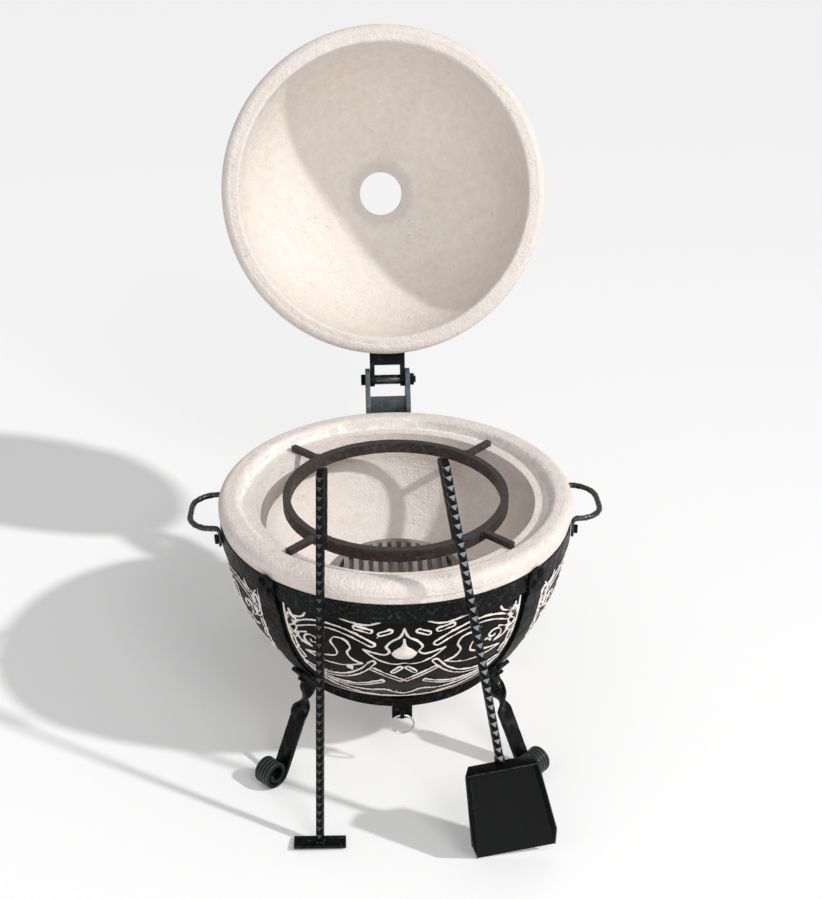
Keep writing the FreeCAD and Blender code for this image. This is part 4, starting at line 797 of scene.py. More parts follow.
def unkinked(path, reach):
    """Path averaged over a few points each way; its ends stay."""
    pad = np.concatenate([[path[0]] * reach, path, [path[-1]] * reach])
    window = np.ones(2 * reach + 1) / (2 * reach + 1)
    mean = np.stack([np.convolve(pad[:, k], window, "valid") for k in (0, 1)], axis=1)
    path[reach:-reach] = mean[reach:-reach]
    return path


def carried(path, side):
    """Rail along a path whose side way starts as given and never twists."""
    way = unit(np.gradient(path, axis=0))
    sides = []
    side = np.array(side, float)
    for tangent in way:
        side = unit(side - tangent * (side @ tangent))
        sides.append(side)
    sides = np.array(sides)
    return path, sides, np.cross(way, sides)


def upright(pairs):
    """Radius and height pairs as points in the plane through the bowl's axis."""
    return np.stack([pairs[:, 0], np.zeros(len(pairs)), pairs[:, 1]], axis=1)


def hoop_rail(radius, height, count):
    """Rail of a level ring: its side way is up and its face way is out."""
    angle = ring_angles(count)
    out = np.stack([np.cos(angle), np.sin(angle), np.zeros(count)], axis=1)
    return out * radius + np.array((0, 0, height)), UP, out


def wrapped(name, path, halves, thick, finish, degrees, dent, depth):
    """Flat bar bent round the bowl: path of radius and height, half widths along it."""
    out = unit(np.gradient(path, axis=0))[:, ::-1] * np.array((1, -1))
    out *= np.sign(out[:, :1] + 1e-9)
    grid = []
    for (radius, height), (push, lift), half in zip(path, out, halves):
        across, rise = bar_section(2 * half, thick, min(0.9, half * 0.9), across=12).T
        reach = radius + push * rise
        angle = across / radius
        grid.append(np.stack([reach * np.cos(angle), reach * np.sin(angle),
                              height + lift * rise], axis=1))
    grid = dished(np.array(grid), dent, depth, False)
    spin = np.array(Matrix.Rotation(math.radians(degrees), 3, "Z"))
    return skinned(name, grid @ spin.T, finish)


def softened(node, finish, width, body, slot, angle=30, shaped=None):
    """Copy of a CAD piece with its edges broken, in place of that piece."""
    source = NODES[node]
    mesh = source.data.copy()
    mesh.transform(source.matrix_world)
    mesh.name = f"{node}_finished"

    def change(form):
        bmesh.ops.remove_doubles(form, verts=form.verts, dist=0.00001)
        bmesh.ops.dissolve_limit(form, angle_limit=math.radians(0.6), verts=form.verts,
                                 edges=form.edges)
        if shaped is not None:
            shaped(form)
        sharp = [e for e in form.edges if len(e.link_faces) == 2
                 and e.calc_face_angle() > math.radians(angle)]
        bmesh.ops.bevel(form, geom=sharp, offset=width * MM, segments=2, profile=0.5,
                        affect="EDGES", clamp_overlap=True)

    reshaped(mesh, change)
    obj = added(f"{node}_finished", mesh)
    mesh.materials.clear()
    mesh.materials.append(material(finish))
    mesh.polygons.foreach_set("use_smooth", [True] * len(mesh.polygons))
    mesh.set_sharp_from_angle(angle=math.radians(28))
    fit(obj, body, slot, node)


def belly(height, offset=0.0):
    """Radius of the bowl's outer curve, or of a surface off it, at a height; all in mm."""
    size = bpy.context.scene.relief_sizes
    arc = size.belly_arc * 1000 + offset
    return np.sqrt(arc ** 2 - (height - size.belly_height * 1000) ** 2) - size.belly_in * 1000


# Repeats

def dressed(tree, out, geometry, finish, smooth=False):
    """Last steps of a geometry group: real meshes in one finish."""
    geometry = signal(tree, "GeometryNodeRealizeInstances", "Geometry", {"Geometry": geometry})
    if smooth:
        geometry = signal(tree, "GeometryNodeSetShadeSmooth", "Geometry", {"Geometry": geometry})
    feed(out["Geometry"], signal(tree, "GeometryNodeSetMaterial", "Geometry",
                                 {"Geometry": geometry, "Material": finish}))
    return tree


def random_size(tree, given):
    spread = given["Size Spread"]
    return signal(tree, "FunctionNodeRandomValue", "Value",
                  {"Min": 1.0 - spread, "Max": spread + 1.0, "Seed": given["Seed"]},
                  data_type="FLOAT")


def repeat_group():
    """Instances of a piece on the points of a mesh, aimed by its aim attribute."""
    tree, given, out = new_group(
        "pieces on points",
        [("Geometry", "Geometry", None), ("Piece", "Object", None), ("Turn", "Float", 6.2832),
         ("Size Spread", "Float", 0.04), ("Seed", "Int", 7), ("Finish", "Material", None)],
        [("Geometry", "Geometry")], "Geometry")
    aim = signal(tree, "GeometryNodeInputNamedAttribute", "Attribute", {"Name": "aim"},
                 data_type="FLOAT_VECTOR")
    align = signal(tree, "FunctionNodeAlignRotationToVector", "Rotation", {"Vector": aim}, axis="Z")
    piece = signal(tree, "GeometryNodeObjectInfo", "Geometry", {"Object": given["Piece"]})
    spin = signal(tree, "FunctionNodeRandomValue", "Value",
                  {"Max": given["Turn"], "Seed": given["Seed"]}, data_type="FLOAT")
    twist = signal(tree, "ShaderNodeCombineXYZ", 0, {"Z": spin})
    spun = signal(tree, "FunctionNodeRotateRotation", "Rotation",
                  {"Rotation": align, "Rotate By": twist}, rotation_space="LOCAL")
    placed = signal(tree, "GeometryNodeInstanceOnPoints", "Instances",
                    {"Points": given["Geometry"], "Instance": piece, "Rotation": spun,
                     "Scale": random_size(tree, given)})
    return dressed(tree, out, placed, given["Finish"])


def bead_group():
    """Rope of overlapping weld drops along the edges of a mesh."""
    tree, given, out = new_group(
        "weld bead",
        [("Geometry", "Geometry", None), ("Pitch", "Float", 0.0014), ("Radius", "Float", 0.0019),
         ("Size Spread", "Float", 0.16), ("Seed", "Int", 3), ("Finish", "Material", None)],
        [("Geometry", "Geometry")], "Geometry")
    curve = signal(tree, "GeometryNodeMeshToCurve", "Curve", {"Mesh": given["Geometry"]})
    even = signal(tree, "GeometryNodeResampleCurve", "Curve",
                  {"Curve": curve, "Length": given["Pitch"]}, mode="LENGTH")
    drop = signal(tree, "GeometryNodeMeshIcoSphere", "Mesh",
                  {"Radius": given["Radius"], "Subdivisions": 2})
    placed = signal(tree, "GeometryNodeInstanceOnPoints", "Instances",
                    {"Points": even, "Instance": drop, "Scale": random_size(tree, given)})
    return dressed(tree, out, placed, given["Finish"], smooth=True)


REPEATS = {}


def grown(name, source, maker, finish, **inputs):
    """Run a Geometry Nodes group over a source mesh and keep the result as a plain mesh."""
    if maker not in REPEATS:
        REPEATS[maker] = maker()
    modifier = source.modifiers.new("grown", "NODES")
    modifier.node_group = REPEATS[maker]
    named = {item.name: item.identifier for item in REPEATS[maker].interface.items_tree
             if item.item_type == "SOCKET" and item.in_out == "INPUT"}
    modifier[named["Finish"]] = material(finish)
    for label, value in inputs.items():
        modifier[named[label.replace("_", " ").title()]] = value
    bpy.context.view_layer.update()
    graph = bpy.context.evaluated_depsgraph_get()
    mesh = bpy.data.meshes.new_from_object(source.evaluated_get(graph), depsgraph=graph)
    mesh.name = name
    source.modifiers.remove(modifier)
    obj = added(name, mesh)
    if not mesh.materials:
        mesh.materials.append(material(finish))
    mesh.materials[0] = material(finish)
    mesh.polygons.foreach_set("use_smooth", [True] * len(mesh.polygons))
    mesh.set_sharp_from_angle(angle=math.radians(32))
    bpy.data.objects.remove(source)
    return obj


def seam(name, lines, radius, finish, body, slot, turn=None):
    """Weld bead along lines given in mm."""
    points, edges = [], []
    for line in lines:
        start = len(points)
        points += [tuple(p) for p in in_place(line)]
        edges += [(start + i, start + i + 1) for i in range(len(line) - 1)]
    mesh = bpy.data.meshes.new("line")
    mesh.from_pydata(points, edges, [])
    if turn is not None:
        mesh.transform(turn)
    bead = grown(name, added("line", mesh), bead_group, finish, radius=radius * MM,
                 pitch=radius * 0.75 * MM)
    fit(bead, body, slot)


def head_object(name, rings, finish, smooth=True):
    """Fastener's head about +Z from rings in mm."""
    points, faces = skin(np.array(rings), False)
    obj = mesh_object(name, np.asarray(points) * MM, faces, finish, smooth)
    face_outward(obj)
    return obj


def lathe(name, profile, finish, count=32):
    """Small turned piece, from radius and height pairs in mm, closed on the axis."""
    rings = [[(r * math.cos(a), r * math.sin(a), z) for a in ring_angles(count)]
             for r, z in profile]
    return head_object(name, rings, finish)


def hex_head(radius, height, shank, finish):
    """Hexagon head with its corners chamfered, a washer face and a stub of shank."""
    angle = ring_angles(48)
    flat = radius * math.cos(math.pi / 6)
    hexagon = flat / np.cos((angle % (math.pi / 3)) - math.pi / 6)
    chamfered = np.minimum(hexagon, radius * 0.985)
    rows = ((shank, -3.0), (shank, 0.0), (flat * 0.97, 0.0), (flat * 0.97, 0.4),
            (hexagon, 0.4), (chamfered, height - 1.1), (flat * 0.98, height),
            (flat * 0.55, height))
    rings = [np.stack([reach * np.cos(angle), reach * np.sin(angle), np.full_like(angle, lift)],
                      axis=1) for reach, lift in rows]
    return head_object("hex_head", rings, finish, smooth=False)


# Ornament of one panel: palmette, bands and scrolled leaves, in mm from the panel's middle

def smooth_line(points, closed=False, steps=14):
    """Catmull-Rom line through points; a point marked with a third value is a sharp corner."""
    pts = [np.array(p[:2], float) for p in points]
    sharp = [len(p) > 2 for p in points]
    count = len(pts)
    line = []
    last = count if closed else count - 1
    for i in range(last):
        p1, p2 = pts[i], pts[(i + 1) % count]
        before = pts[(i - 1) % count] if (closed or i) else p1
        after = pts[(i + 2) % count] if (closed or i + 2 < count) else p2
        m1 = np.zeros(2) if sharp[i] else (p2 - before) / 2
        m1 = (p2 - p1) * 0.6 if sharp[i] else (p2 - before) / 2
        m2 = (p2 - p1) * 0.6 if sharp[(i + 1) % count] else (after - p1) / 2
        for t in np.linspace(0, 1, steps, endpoint=False):
            a, b = t * t, t * t * t
            line.append((2 * b - 3 * a + 1) * p1 + (b - 2 * a + t) * m1
                        + (3 * a - 2 * b) * p2 + (b - a) * m2)
    if not closed:
        line.append(pts[-1])
    return np.array(line)


def band(points, width):
    """Closed outline of a band along a line, with round ends."""
    line = smooth_line(points)
    way = unit(np.gradient(line, axis=0)) * width / 2
    side = np.stack([-way[:, 1], way[:, 0]], axis=1)
    bend = np.radians(np.arange(15, 180, 15))[:, None]
    far = line[-1] + np.cos(bend) * side[-1] + np.sin(bend) * way[-1]
    near = line[0] - np.cos(bend) * side[0] - np.sin(bend) * way[0]
    return np.concatenate([line + side, far, (line - side)[::-1], near])


def capsule(centre, size, width, degrees):
    """Small long drop, as a closed outline."""
    turn = math.radians(degrees)
    along = np.array([math.cos(turn), math.sin(turn)])
    half = along * size / 2
    return band([tuple(np.array(centre) - half), tuple(centre), tuple(np.array(centre) + half)],
                width)


def spiral(centre, radius, turns, start, end_radius=2.0):
    """Open curl that winds in."""
    count = int(28 * turns)
    angles = math.radians(start) + np.linspace(0, turns * 2 * math.pi, count)
    radii = np.linspace(radius, end_radius, count)
    return np.stack([centre[0] + radii * np.cos(angles), centre[1] + radii * np.sin(angles)], axis=1)


def ornament():
    """Lines, filled outlines, palmette and bud of one panel's right half; each is mirrored."""
    open_lines = [
        smooth_line([(161, 207), (160, 170), (157, 128), (149, 84), (132, 50), (102, 25),
                     (66, 12), (34, 8), (0, 7)]),
        smooth_line([(126, 57), (96, 39), (58, 34), (30, 38), (14, 27), (0, 20, 1)]),
        spiral((123, 150), 14, 1.2, -70),
        smooth_line([(130, 163), (141, 158), (144, 146), (136, 138), (126, 134)]),
        smooth_line([(154, 196), (147, 187), (134, 191), (128, 200)]),
        smooth_line([(150, 176), (144, 166), (149, 156), (144, 148)]),
        smooth_line([(30, 205), (44, 199), (62, 200), (84, 206)]),
    ]
    outlines = [
        band([(144, 174), (118, 186), (92, 187), (66, 178), (42, 162)], 9),
        band([(147, 82), (116, 72), (84, 79), (60, 97), (42, 122)], 8),
        band([(136, 64), (104, 53), (68, 53), (32, 70)], 6.5),
        smooth_line([(56, 117, 1), (69, 125), (75, 139), (70, 152), (76, 165), (89, 168),
                     (96, 157), (90, 143), (91, 130), (106, 124), (138, 120, 1), (114, 109),
                     (84, 107)], closed=True),
        smooth_line([(155, 190, 1), (143, 180), (149, 170), (156, 164), (151, 154),
                     (143, 158, 1), (148, 145), (157, 152), (159, 168), (158, 180)], closed=True),
        capsule((154, 131), 15, 6.5, 84),
        capsule((149, 108), 14, 6.5, 68),
        capsule((24, 186), 13, 6.5, -26),
        capsule((52, 190), 18, 6.5, 16),
        capsule((10, 105), 15, 6, -48),
        capsule((24, 90), 50, 6.5, 38),
    ]
    palmette = smooth_line([(0, 194, 1), (5, 179), (17, 169), (23, 158), (19, 148), (28, 142),
                            (53, 150, 1), (41, 136), (27, 125), (12, 120), (0, 123, 1)])
    bud = smooth_line([(0, 174, 1), (3, 160), (11, 151), (15, 143), (9, 135), (0, 133)])
    return open_lines, outlines, palmette, bud


def inside(points, outline):
    """Which points lie within a closed outline."""
    x, y = points[:, 0], points[:, 1]
    hit = np.zeros(len(points), bool)
    for (x1, y1), (x2, y2) in zip(outline, np.roll(outline, -1, axis=0)):
        cross = (y1 > y) != (y2 > y)
        if not cross.any():
            continue
        at = (x2 - x1) * (y - y1) / (y2 - y1 + 1e-12) + x1
        hit ^= cross & (x < at)
    return hit


def densify(line, gap=0.5, closed=False):
    pts = np.concatenate([line, line[:1]]) if closed else line
    out = []
    for p, q in zip(pts[:-1], pts[1:]):
        count = max(1, int(np.linalg.norm(q - p) / gap))
        out.append(p + (q - p) * np.linspace(0, 1, count, endpoint=False)[:, None])
    out.append(pts[-1:])
    return np.concatenate(out)


RELIEF_SPAN = 235.0   # mm of panel for one radian round the bowl


def relief_field(points):
    """Distance from a drawn line, fill, and the bud, at panel points in mm."""
    open_lines, outlines, palmette, bud = ornament()
    flip = np.array([-1, 1])
    drawn = []
    fill = np.zeros(len(points))
    for line in open_lines:
        drawn += [densify(line), densify(line * flip)]
    for outline in outlines:
        for shape in (outline, outline * flip):
            drawn.append(densify(shape, closed=True))
            fill[inside(points, shape)] = 1
    palmette, bud = (np.concatenate([half, (half * flip)[::-1]]) for half in (palmette, bud))
    drawn += [densify(palmette, closed=True), densify(bud, closed=True)]
    fill[inside(points, palmette)] = 0.6
    cloud = np.concatenate(drawn)
    tree = kdtree.KDTree(len(cloud))
    for i, (x, y) in enumerate(cloud):
        tree.insert((x, y, 0), i)
    tree.balance()
    gap = np.array([tree.find((x, y, 0))[2] for x, y in points])
    return gap, fill, inside(points, bud)


class GRILL_OT_relief(bpy.types.Operator):
    """Moulded and painted relief panels between the straps"""
    bl_idname = "grill.relief"
    bl_label = "Relief panels"

    def execute(self, context):
        size = context.scene.relief_sizes
        drop_low = math.asin((size.low - size.belly_height) / size.belly_arc)
        drop_top = math.asin((size.top - size.belly_height) / size.belly_arc)
        span = math.pi / 2
        columns, rows = size.across + 1, size.up + 1
        turn = np.linspace(-span / 2, span / 2, columns)
        rise = np.linspace(drop_low, drop_top, rows)
        t, f = np.meshgrid(turn, rise)
        t, f = t.ravel(), f.ravel()
        flat = np.stack([t * RELIEF_SPAN, (f - drop_low) * size.belly_arc * 1000], axis=1)
        gap, fill, solid = relief_field(flat)
        pressed = np.array([noise.noise((x / 15, y / 15, 8.3)) for x, y in flat])
        width = size.ridge * 1000 * np.clip(1.05 + 0.75 * pressed, 0.6, 1.8)
        width *= 1 + 0.35 * np.clip(1 - flat[:, 1] / 60, 0, 1)
        ridge = eased_step(np.clip(1.15 - gap / (width / 2), 0, 1))
        ridge = np.where(solid, np.clip(ridge + 0.9, 0, 1), ridge)
        edge = np.clip((math.radians(41) - np.abs(t)) / math.radians(2), 0, 1)
        ridge = ridge * edge
        swell = fill * np.clip(gap / 4, 0, 1)
        bulge = np.where(solid, np.clip(gap / 12, 0, 1) * 2.2, 0)
        out = size.rise * ridge * 0.9 + size.swell * (swell + bulge) * edge + 0.00015
        wobble = np.array([noise.noise((x / 22, y / 22, 3.1)) for x, y in flat])
        out += 0.0003 * wobble * edge
        reach = size.belly_arc + out
        radius = reach * np.cos(f) - size.belly_in
        height = size.belly_height + reach * np.sin(f)
        corner = np.hypot((np.abs(flat[:, 0]) - 150) / 26, (flat[:, 1] - 184) / 30)
        brush = np.clip(1.15 - corner, 0, 1) * 0.55 + 0.30 * fill * np.clip(1 - gap / 5, 0, 1)
        brush = (brush + 0.22 * np.clip(wobble, 0, 1)) * edge
        faces = []
        for j in range(rows - 1):
            low = j * columns
            faces += [(low + i, low + i + 1, low + columns + i + 1, low + columns + i)
                      for i in range(columns - 1)]
        top = (rows - 1) * columns
        faces += [(top + i, top + i + 1, i + 1, i) for i in range(columns - 1)]
        faces.append(tuple(j * columns for j in range(rows)))
        faces.append(tuple(j * columns + columns - 1 for j in reversed(range(rows))))
        for name, degrees in SIDES.items():
            angle = t + math.radians(degrees)
            points = np.stack([radius * np.cos(angle), AXIS_Y + radius * np.sin(angle), height],
                              axis=1)
            panel = mesh_object(f"relief_{name}", points, faces, "relief")
            write_attribute(panel, "ridge", ridge)
            write_attribute(panel, "brush", brush)
            fit(panel, "stand", "bowl_ceramic")
        return {"FINISHED"}


class GRILL_OT_finishes(bpy.types.Operator):
    """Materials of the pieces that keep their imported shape"""
    bl_idname = "grill.finishes"
    bl_label = "Finishes"

    def execute(self, context):
        finishes = {
            "clay": ["bowl"],
            "lid_clay": ["lid"],
            "hinge": ["hinge_bracket"],
            "hinge_dark": ["lid_bracket"],
            "sleeve": ["hinge_sleeve"],
            "bolt": ["hinge_bolt", "hinge_nut", "leg_bolts", "handle_bolts", "cover_pivot",
                     "rail_screws"],
            "ring": [n for n in NODES if n.startswith(("cauldron_ring", "ring_arm"))],
            "grate": ["charcoal_grate"],
            "rail": [n for n in NODES if n.startswith("damper_rail")],
            "wire": ["pull_ring"],
        }
        chosen = dict.fromkeys(NODES, "black")
        for finish, names in finishes.items():
            chosen.update(dict.fromkeys(names, finish))
        for name, finish in chosen.items():
            slots = NODES[name].data.materials
            slots.clear()
            slots.append(material(finish))
        return {"FINISHED"}


def bars():
    """Bar sizes in mm, by name."""
    sizes = bpy.context.scene.bar_sizes
    return {key: getattr(sizes, key) * 1000 for key in BarSizes.__annotations__}


class GRILL_OT_hoops(bpy.types.Operator):
    """Hammered hoops and straps of the bowl and of the lid"""
    bl_idname = "grill.hoops"
    bl_label = "Hoops and straps"

    def execute(self, context):
        size = bars()
        lid_low = LID_EDGE + LID_HOOP_RISE
        lid_high = lid_low + LID_HOOP_WIDTH
        for node, body, low, high, thick, count, across, depth, turn in (
                ("upper_hoop", "stand", HOOP_LOW, HOOP_TOP, size["hoop"], 560, 14, 0.45, None),
                ("lid_hoop", "lid_body", lid_low, lid_high, LID_BAR, 480, 12, 0.4, lid_open())):
            rail = hoop_rail(radius_of(node) - thick / 2, (low + high) / 2, count)
            section = bar_section(high - low, thick, 0.9, across=across)
            hoop = sweep(f"{node}_hammered", rail, section, "hoop", True, 10, depth, turn)
            fit(hoop, body, "forged_iron", node)
        self.bowl_straps(size)
        self.lid_straps(size, lid_high)
        return {"FINISHED"}

    def bowl_straps(self, size):
        thick = size["strap_thick"]
        off = SEAT + thick / 2
        below = HOOP_LOW - 2
        heights = (*np.arange(below - size["joggle"], size["strap_low"], -3.0), size["strap_low"])
        fall = [(HOOP_RADIUS + off, HOOP_TOP + size["strap_rise"]), (HOOP_RADIUS + off, below)]
        fall += [(belly(h, off), h) for h in heights]
        path = unkinked(spaced(np.array(fall, float), 1.6), 3)
        gone = np.concatenate([[0], np.cumsum(np.linalg.norm(np.diff(path, axis=0), axis=1))])
        half = size["strap_wide"] / 2
        rounded = np.sqrt(np.clip(half ** 2 - (half - gone) ** 2, 1.2, None))
        halves = np.where(gone < half, rounded, half)
        for corner, degrees in CORNERS.items():
            strap = wrapped(f"strap_{corner}_hammered", path, halves, thick, "black", degrees,
                            11, 0.4)
            fit(strap, "stand", "forged_iron", f"strap_{corner}")

    def lid_straps(self, size, start):
        arc, crown = size["dome_arc"] + SEAT + LID_BAR / 2, size["crown"]
        low = math.asin((start + SEAT - DOME_CENTRE) / arc)
        angles = np.linspace(low, math.pi / 2, 90)
        path = np.stack([crown + arc * np.cos(angles), DOME_CENTRE + arc * np.sin(angles)], axis=1)
        path = spaced(np.concatenate([path, [(size["lid_strap_in"], DOME_CENTRE + arc)]]), 2.2)
        face = upright(unit(np.gradient(path, axis=0))[:, ::-1] * np.array((1, -1)))
        rail = (upright(path), ACROSS, face)
        section = bar_section(size["lid_strap"], LID_BAR, 0.9, across=12)
        for side, degrees in SIDES.items():
            node = f"lid_strap_{side}"
            strap = sweep(f"{node}_hammered", rail, section, "black", dent=11, depth=0.4,
                          turn=lid_open() @ turned_about_axis(degrees))
            fit(strap, "lid_body", "forged_iron", node)


class GRILL_OT_legs(bpy.types.Operator):
    """Legs: lapped top, half twist and ribbed rolled foot"""
    bl_idname = "grill.legs"
    bl_label = "Legs"

    def execute(self, context):
        size = bars()
        splay = math.radians(LEG_SPLAY)
        across = np.array((math.cos(splay), math.sin(splay)))
        along = np.array((-math.sin(splay), math.cos(splay)))
        half, step = size["leg_thick"] / 2, size["roll_step"]
        spine = size["roll"] - half
        centre = np.array((size["leg_reach"], size["roll"] - FOOT_FLAT))
        lap = SEAT + size["strap_thick"] + SEAT + half
        heights = (*np.arange(size["leg_top"], size["knee"], -2.0), size["knee"])
        path = [(float(belly(h, lap)), h) for h in heights]
        top = size["twist_low"] + size["twist_long"]
        path += [centre - across * spine + along * up
                 for up in (top, size["twist_low"], size["twist_low"] * 0.6, 6)]
        path = unkinked(spaced(np.array(path), 1.4), 4)
        half_turns = ((spine, 0, 180), (spine - step, step, 0), (spine - 2 * step, 0, 180))
        roll = [centre + across * (shift + radius * math.cos(a)) + along * radius * math.sin(a)
                for radius, shift, first in half_turns
                for a in np.radians(first + np.arange(0, 180, 5))]
        path = spaced(np.concatenate([path, roll]), 1.3)
        up = (path - centre) @ along
        twisting = np.clip((top - up) / size["twist_long"], 0, 1)
        last = np.argmax(twisting >= 1)
        twisting[last:] = 1
        angle = np.pi * (eased_step(twisting) * 0.35 + twisting * 0.65)
        sin, cos = np.sin(angle)[:, None], np.cos(angle)[:, None]
        flat_side = np.array(ACROSS)
        flat_face = upright(unit(np.gradient(path, axis=0))[:, ::-1] * np.array((-1, 1)))
        rail = (upright(path), cos * flat_side + sin * flat_face,
                cos * flat_face - sin * flat_side)
        start = int(np.argmax((up < 4) & (np.arange(len(path)) > last)))
        sections, crest_wear_and_highlight = self.ribbed(size, rail[0], rail[2], start)
        for corner, degrees in CORNERS.items():
            leg = sweep(f"leg_{corner}_forged", rail, sections, "forged", dent=12, depth=0.35,
                        turn=turned_about_axis(degrees))
            # Rib crests of the rolled foot: bare wear and painted highlight, in one attribute.
            write_attribute(leg, "bare", np.concatenate([crest_wear_and_highlight.ravel(), [0, 0]]))
            self.flatten(leg)
            fit(leg, "stand", "forged_iron", f"leg_{corner}")
        return {"FINISHED"}

    def ribbed(self, size, place, face, start):
        """Sections with ribs on the outside of the roll, and how light each rib crest is made: wear
        and painted highlight together.
        """
        count = len(place)
        steps = np.arange(count)
        ribs = np.clip((steps - start + 10) / 18, 0, 1) * np.clip((count - 4 - steps) / 6, 0, 1)
        away = place[start + 12] - place[start:].mean(axis=0)
        outward = 1.0 if float(away @ face[start + 12]) > 0 else -1.0
        base = bar_section(size["leg_wide"], size["leg_thick"], 1.1, across=30, up=3)
        pitch = (size["leg_wide"] + 2) / 5
        wave = np.abs(np.sin(np.pi * (base[:, 0] + size["leg_wide"] / 2 + 1) / pitch)) ** 0.6
        outer = base[:, 1] * outward > size["leg_thick"] * 0.2
        sections = np.repeat(base[None], count, axis=0)
        cut = np.where(outer, (1 - wave) * size["rib"], 0.0)
        sections[:, :, 1] -= outward * np.outer(ribs, cut)
        return sections, 0.42 * np.outer(ribs, np.where(outer, np.clip(wave * 2.5 - 1.5, 0, 1), 0))

    def flatten(self, obj):
        """The foot's worn flat: nothing goes below the floor."""
        for vertex in obj.data.vertices:
            vertex.co.z = max(vertex.co.z, 0.0)


class GRILL_OT_handles(bpy.types.Operator):
    """Dimpled round-bar handles with flattened tabs, and the lid's bow handle"""
    bl_idname = "grill.handles"
    bl_label = "Handles"

    def execute(self, context):
        size = bars()
        spread, reach, bend = size["handle_spread"], size["handle_reach"], size["handle_corner"]
        level = HOOP_TOP - 1.0
        tab_in = HOOP_RADIUS + SEAT
        mid = tab_in + TAB_THICK / 2
        angle = math.asin(spread / tab_in)
        x, y = mid * math.cos(angle), mid * math.sin(angle)
        corners = [(x, -y, level - 29), (x, -y, level), (reach, -spread, level),
                   (reach, spread, level), (x, y, level), (x, y, level - 29)]
        path = rounded_path(corners, [0, 7, bend, bend, 7, 0], BAR_STEP)
        count = len(path)
        near = np.minimum(np.arange(count), count - 1 - np.arange(count)) * BAR_STEP
        flat = eased_step(np.clip((33 - near) / 12, 0, 1))[:, None, None]
        tab = bar_section(TAB_WIDTH, TAB_THICK, 1.6, across=8, up=4)
        spot = np.arctan2(tab[:, 1] * 2, tab[:, 0])
        ring = np.stack([np.cos(spot), np.sin(spot)], axis=1) * size["handle"]
        rounding = np.clip((near + 1.0) / 7, 0, 1)
        halves = np.sqrt(1 - (1 - rounding) ** 2) * 0.55 + 0.45
        tabs = tab[None] * np.stack([halves, np.ones(count)], axis=1)[:, None]
        rail = carried(path, (math.sin(angle), math.cos(angle), 0))
        for side in ("right", "left"):
            node = f"handle_{side}"
            handle = sweep(f"{node}_forged", rail, tabs * flat + ring[None] * (1 - flat), "handle",
                           dent=6.5, depth=0.75, turn=turned_about_axis(SIDES[side]))
            fit(handle, "stand", "forged_iron", node)
        self.lid_handle(size)
        return {"FINISHED"}

    def lid_handle(self, size):
        """Bow on the lid's front strap, drawn on the right side and turned to the front."""
        arc = size["dome_arc"] + LID_BAR + 2 * SEAT
        spread, reach = size["lid_handle_spread"], arc + size["lid_handle_reach"]
        tilt = math.radians(45)
        out = np.array((math.cos(tilt), 0, math.sin(tilt)))
        along = np.array((-math.sin(tilt), 0, math.cos(tilt)))
        root = np.array((size["crown"], 0, DOME_CENTRE))
        chord = math.sqrt(arc ** 2 - spread ** 2)
        corners = [root + out * a + along * b for a, b in (
            (chord + 1.0, -spread), (reach, -spread), (reach, spread), (chord + 1.0, spread))]
        rail = carried(rounded_path(corners, [0, 18, 18, 0], BAR_STEP), ACROSS)
        turn = lid_open() @ turned_about_axis(SIDES["front"])
        angle = ring_angles(20)
        section = np.stack([np.cos(angle), np.sin(angle)], axis=1) * size["handle"]
        bow = sweep("lid_handle_bow", rail, section, "handle", dent=6.5, depth=0.7, turn=turn)
        fit(bow, "lid_body", "forged_iron", "lid_handle")
        for mark, sign in (("low", -1), ("high", 1)):
            middle = tilt + sign * math.asin(spread / arc)
            angles = np.linspace(middle - math.radians(4), middle + math.radians(4), 30)
            face = upright(np.stack([np.cos(angles), np.sin(angles)], axis=1))
            foot = sweep(f"lid_handle_foot_{mark}", (root + (arc + LID_BAR / 2) * face, ACROSS, face),
                         bar_section(22, LID_BAR, 1.0, across=8), "black_fine", dent=8,
                         depth=0.3, turn=turn)
            fit(foot, "lid_body", "forged_iron", "lid_handle")
            loop = np.linspace(0, 2 * math.pi, 26)[:, None]
            ring = (root + out * (chord + 3.8) + along * spread * sign
                    + 5.4 * (np.cos(loop) * along + np.sin(loop) * np.array(ACROSS)))
            seam(f"lid_handle_bead_{mark}", [ring], 1.7, "black_fine", "lid_body", "forged_iron",
                 turn)


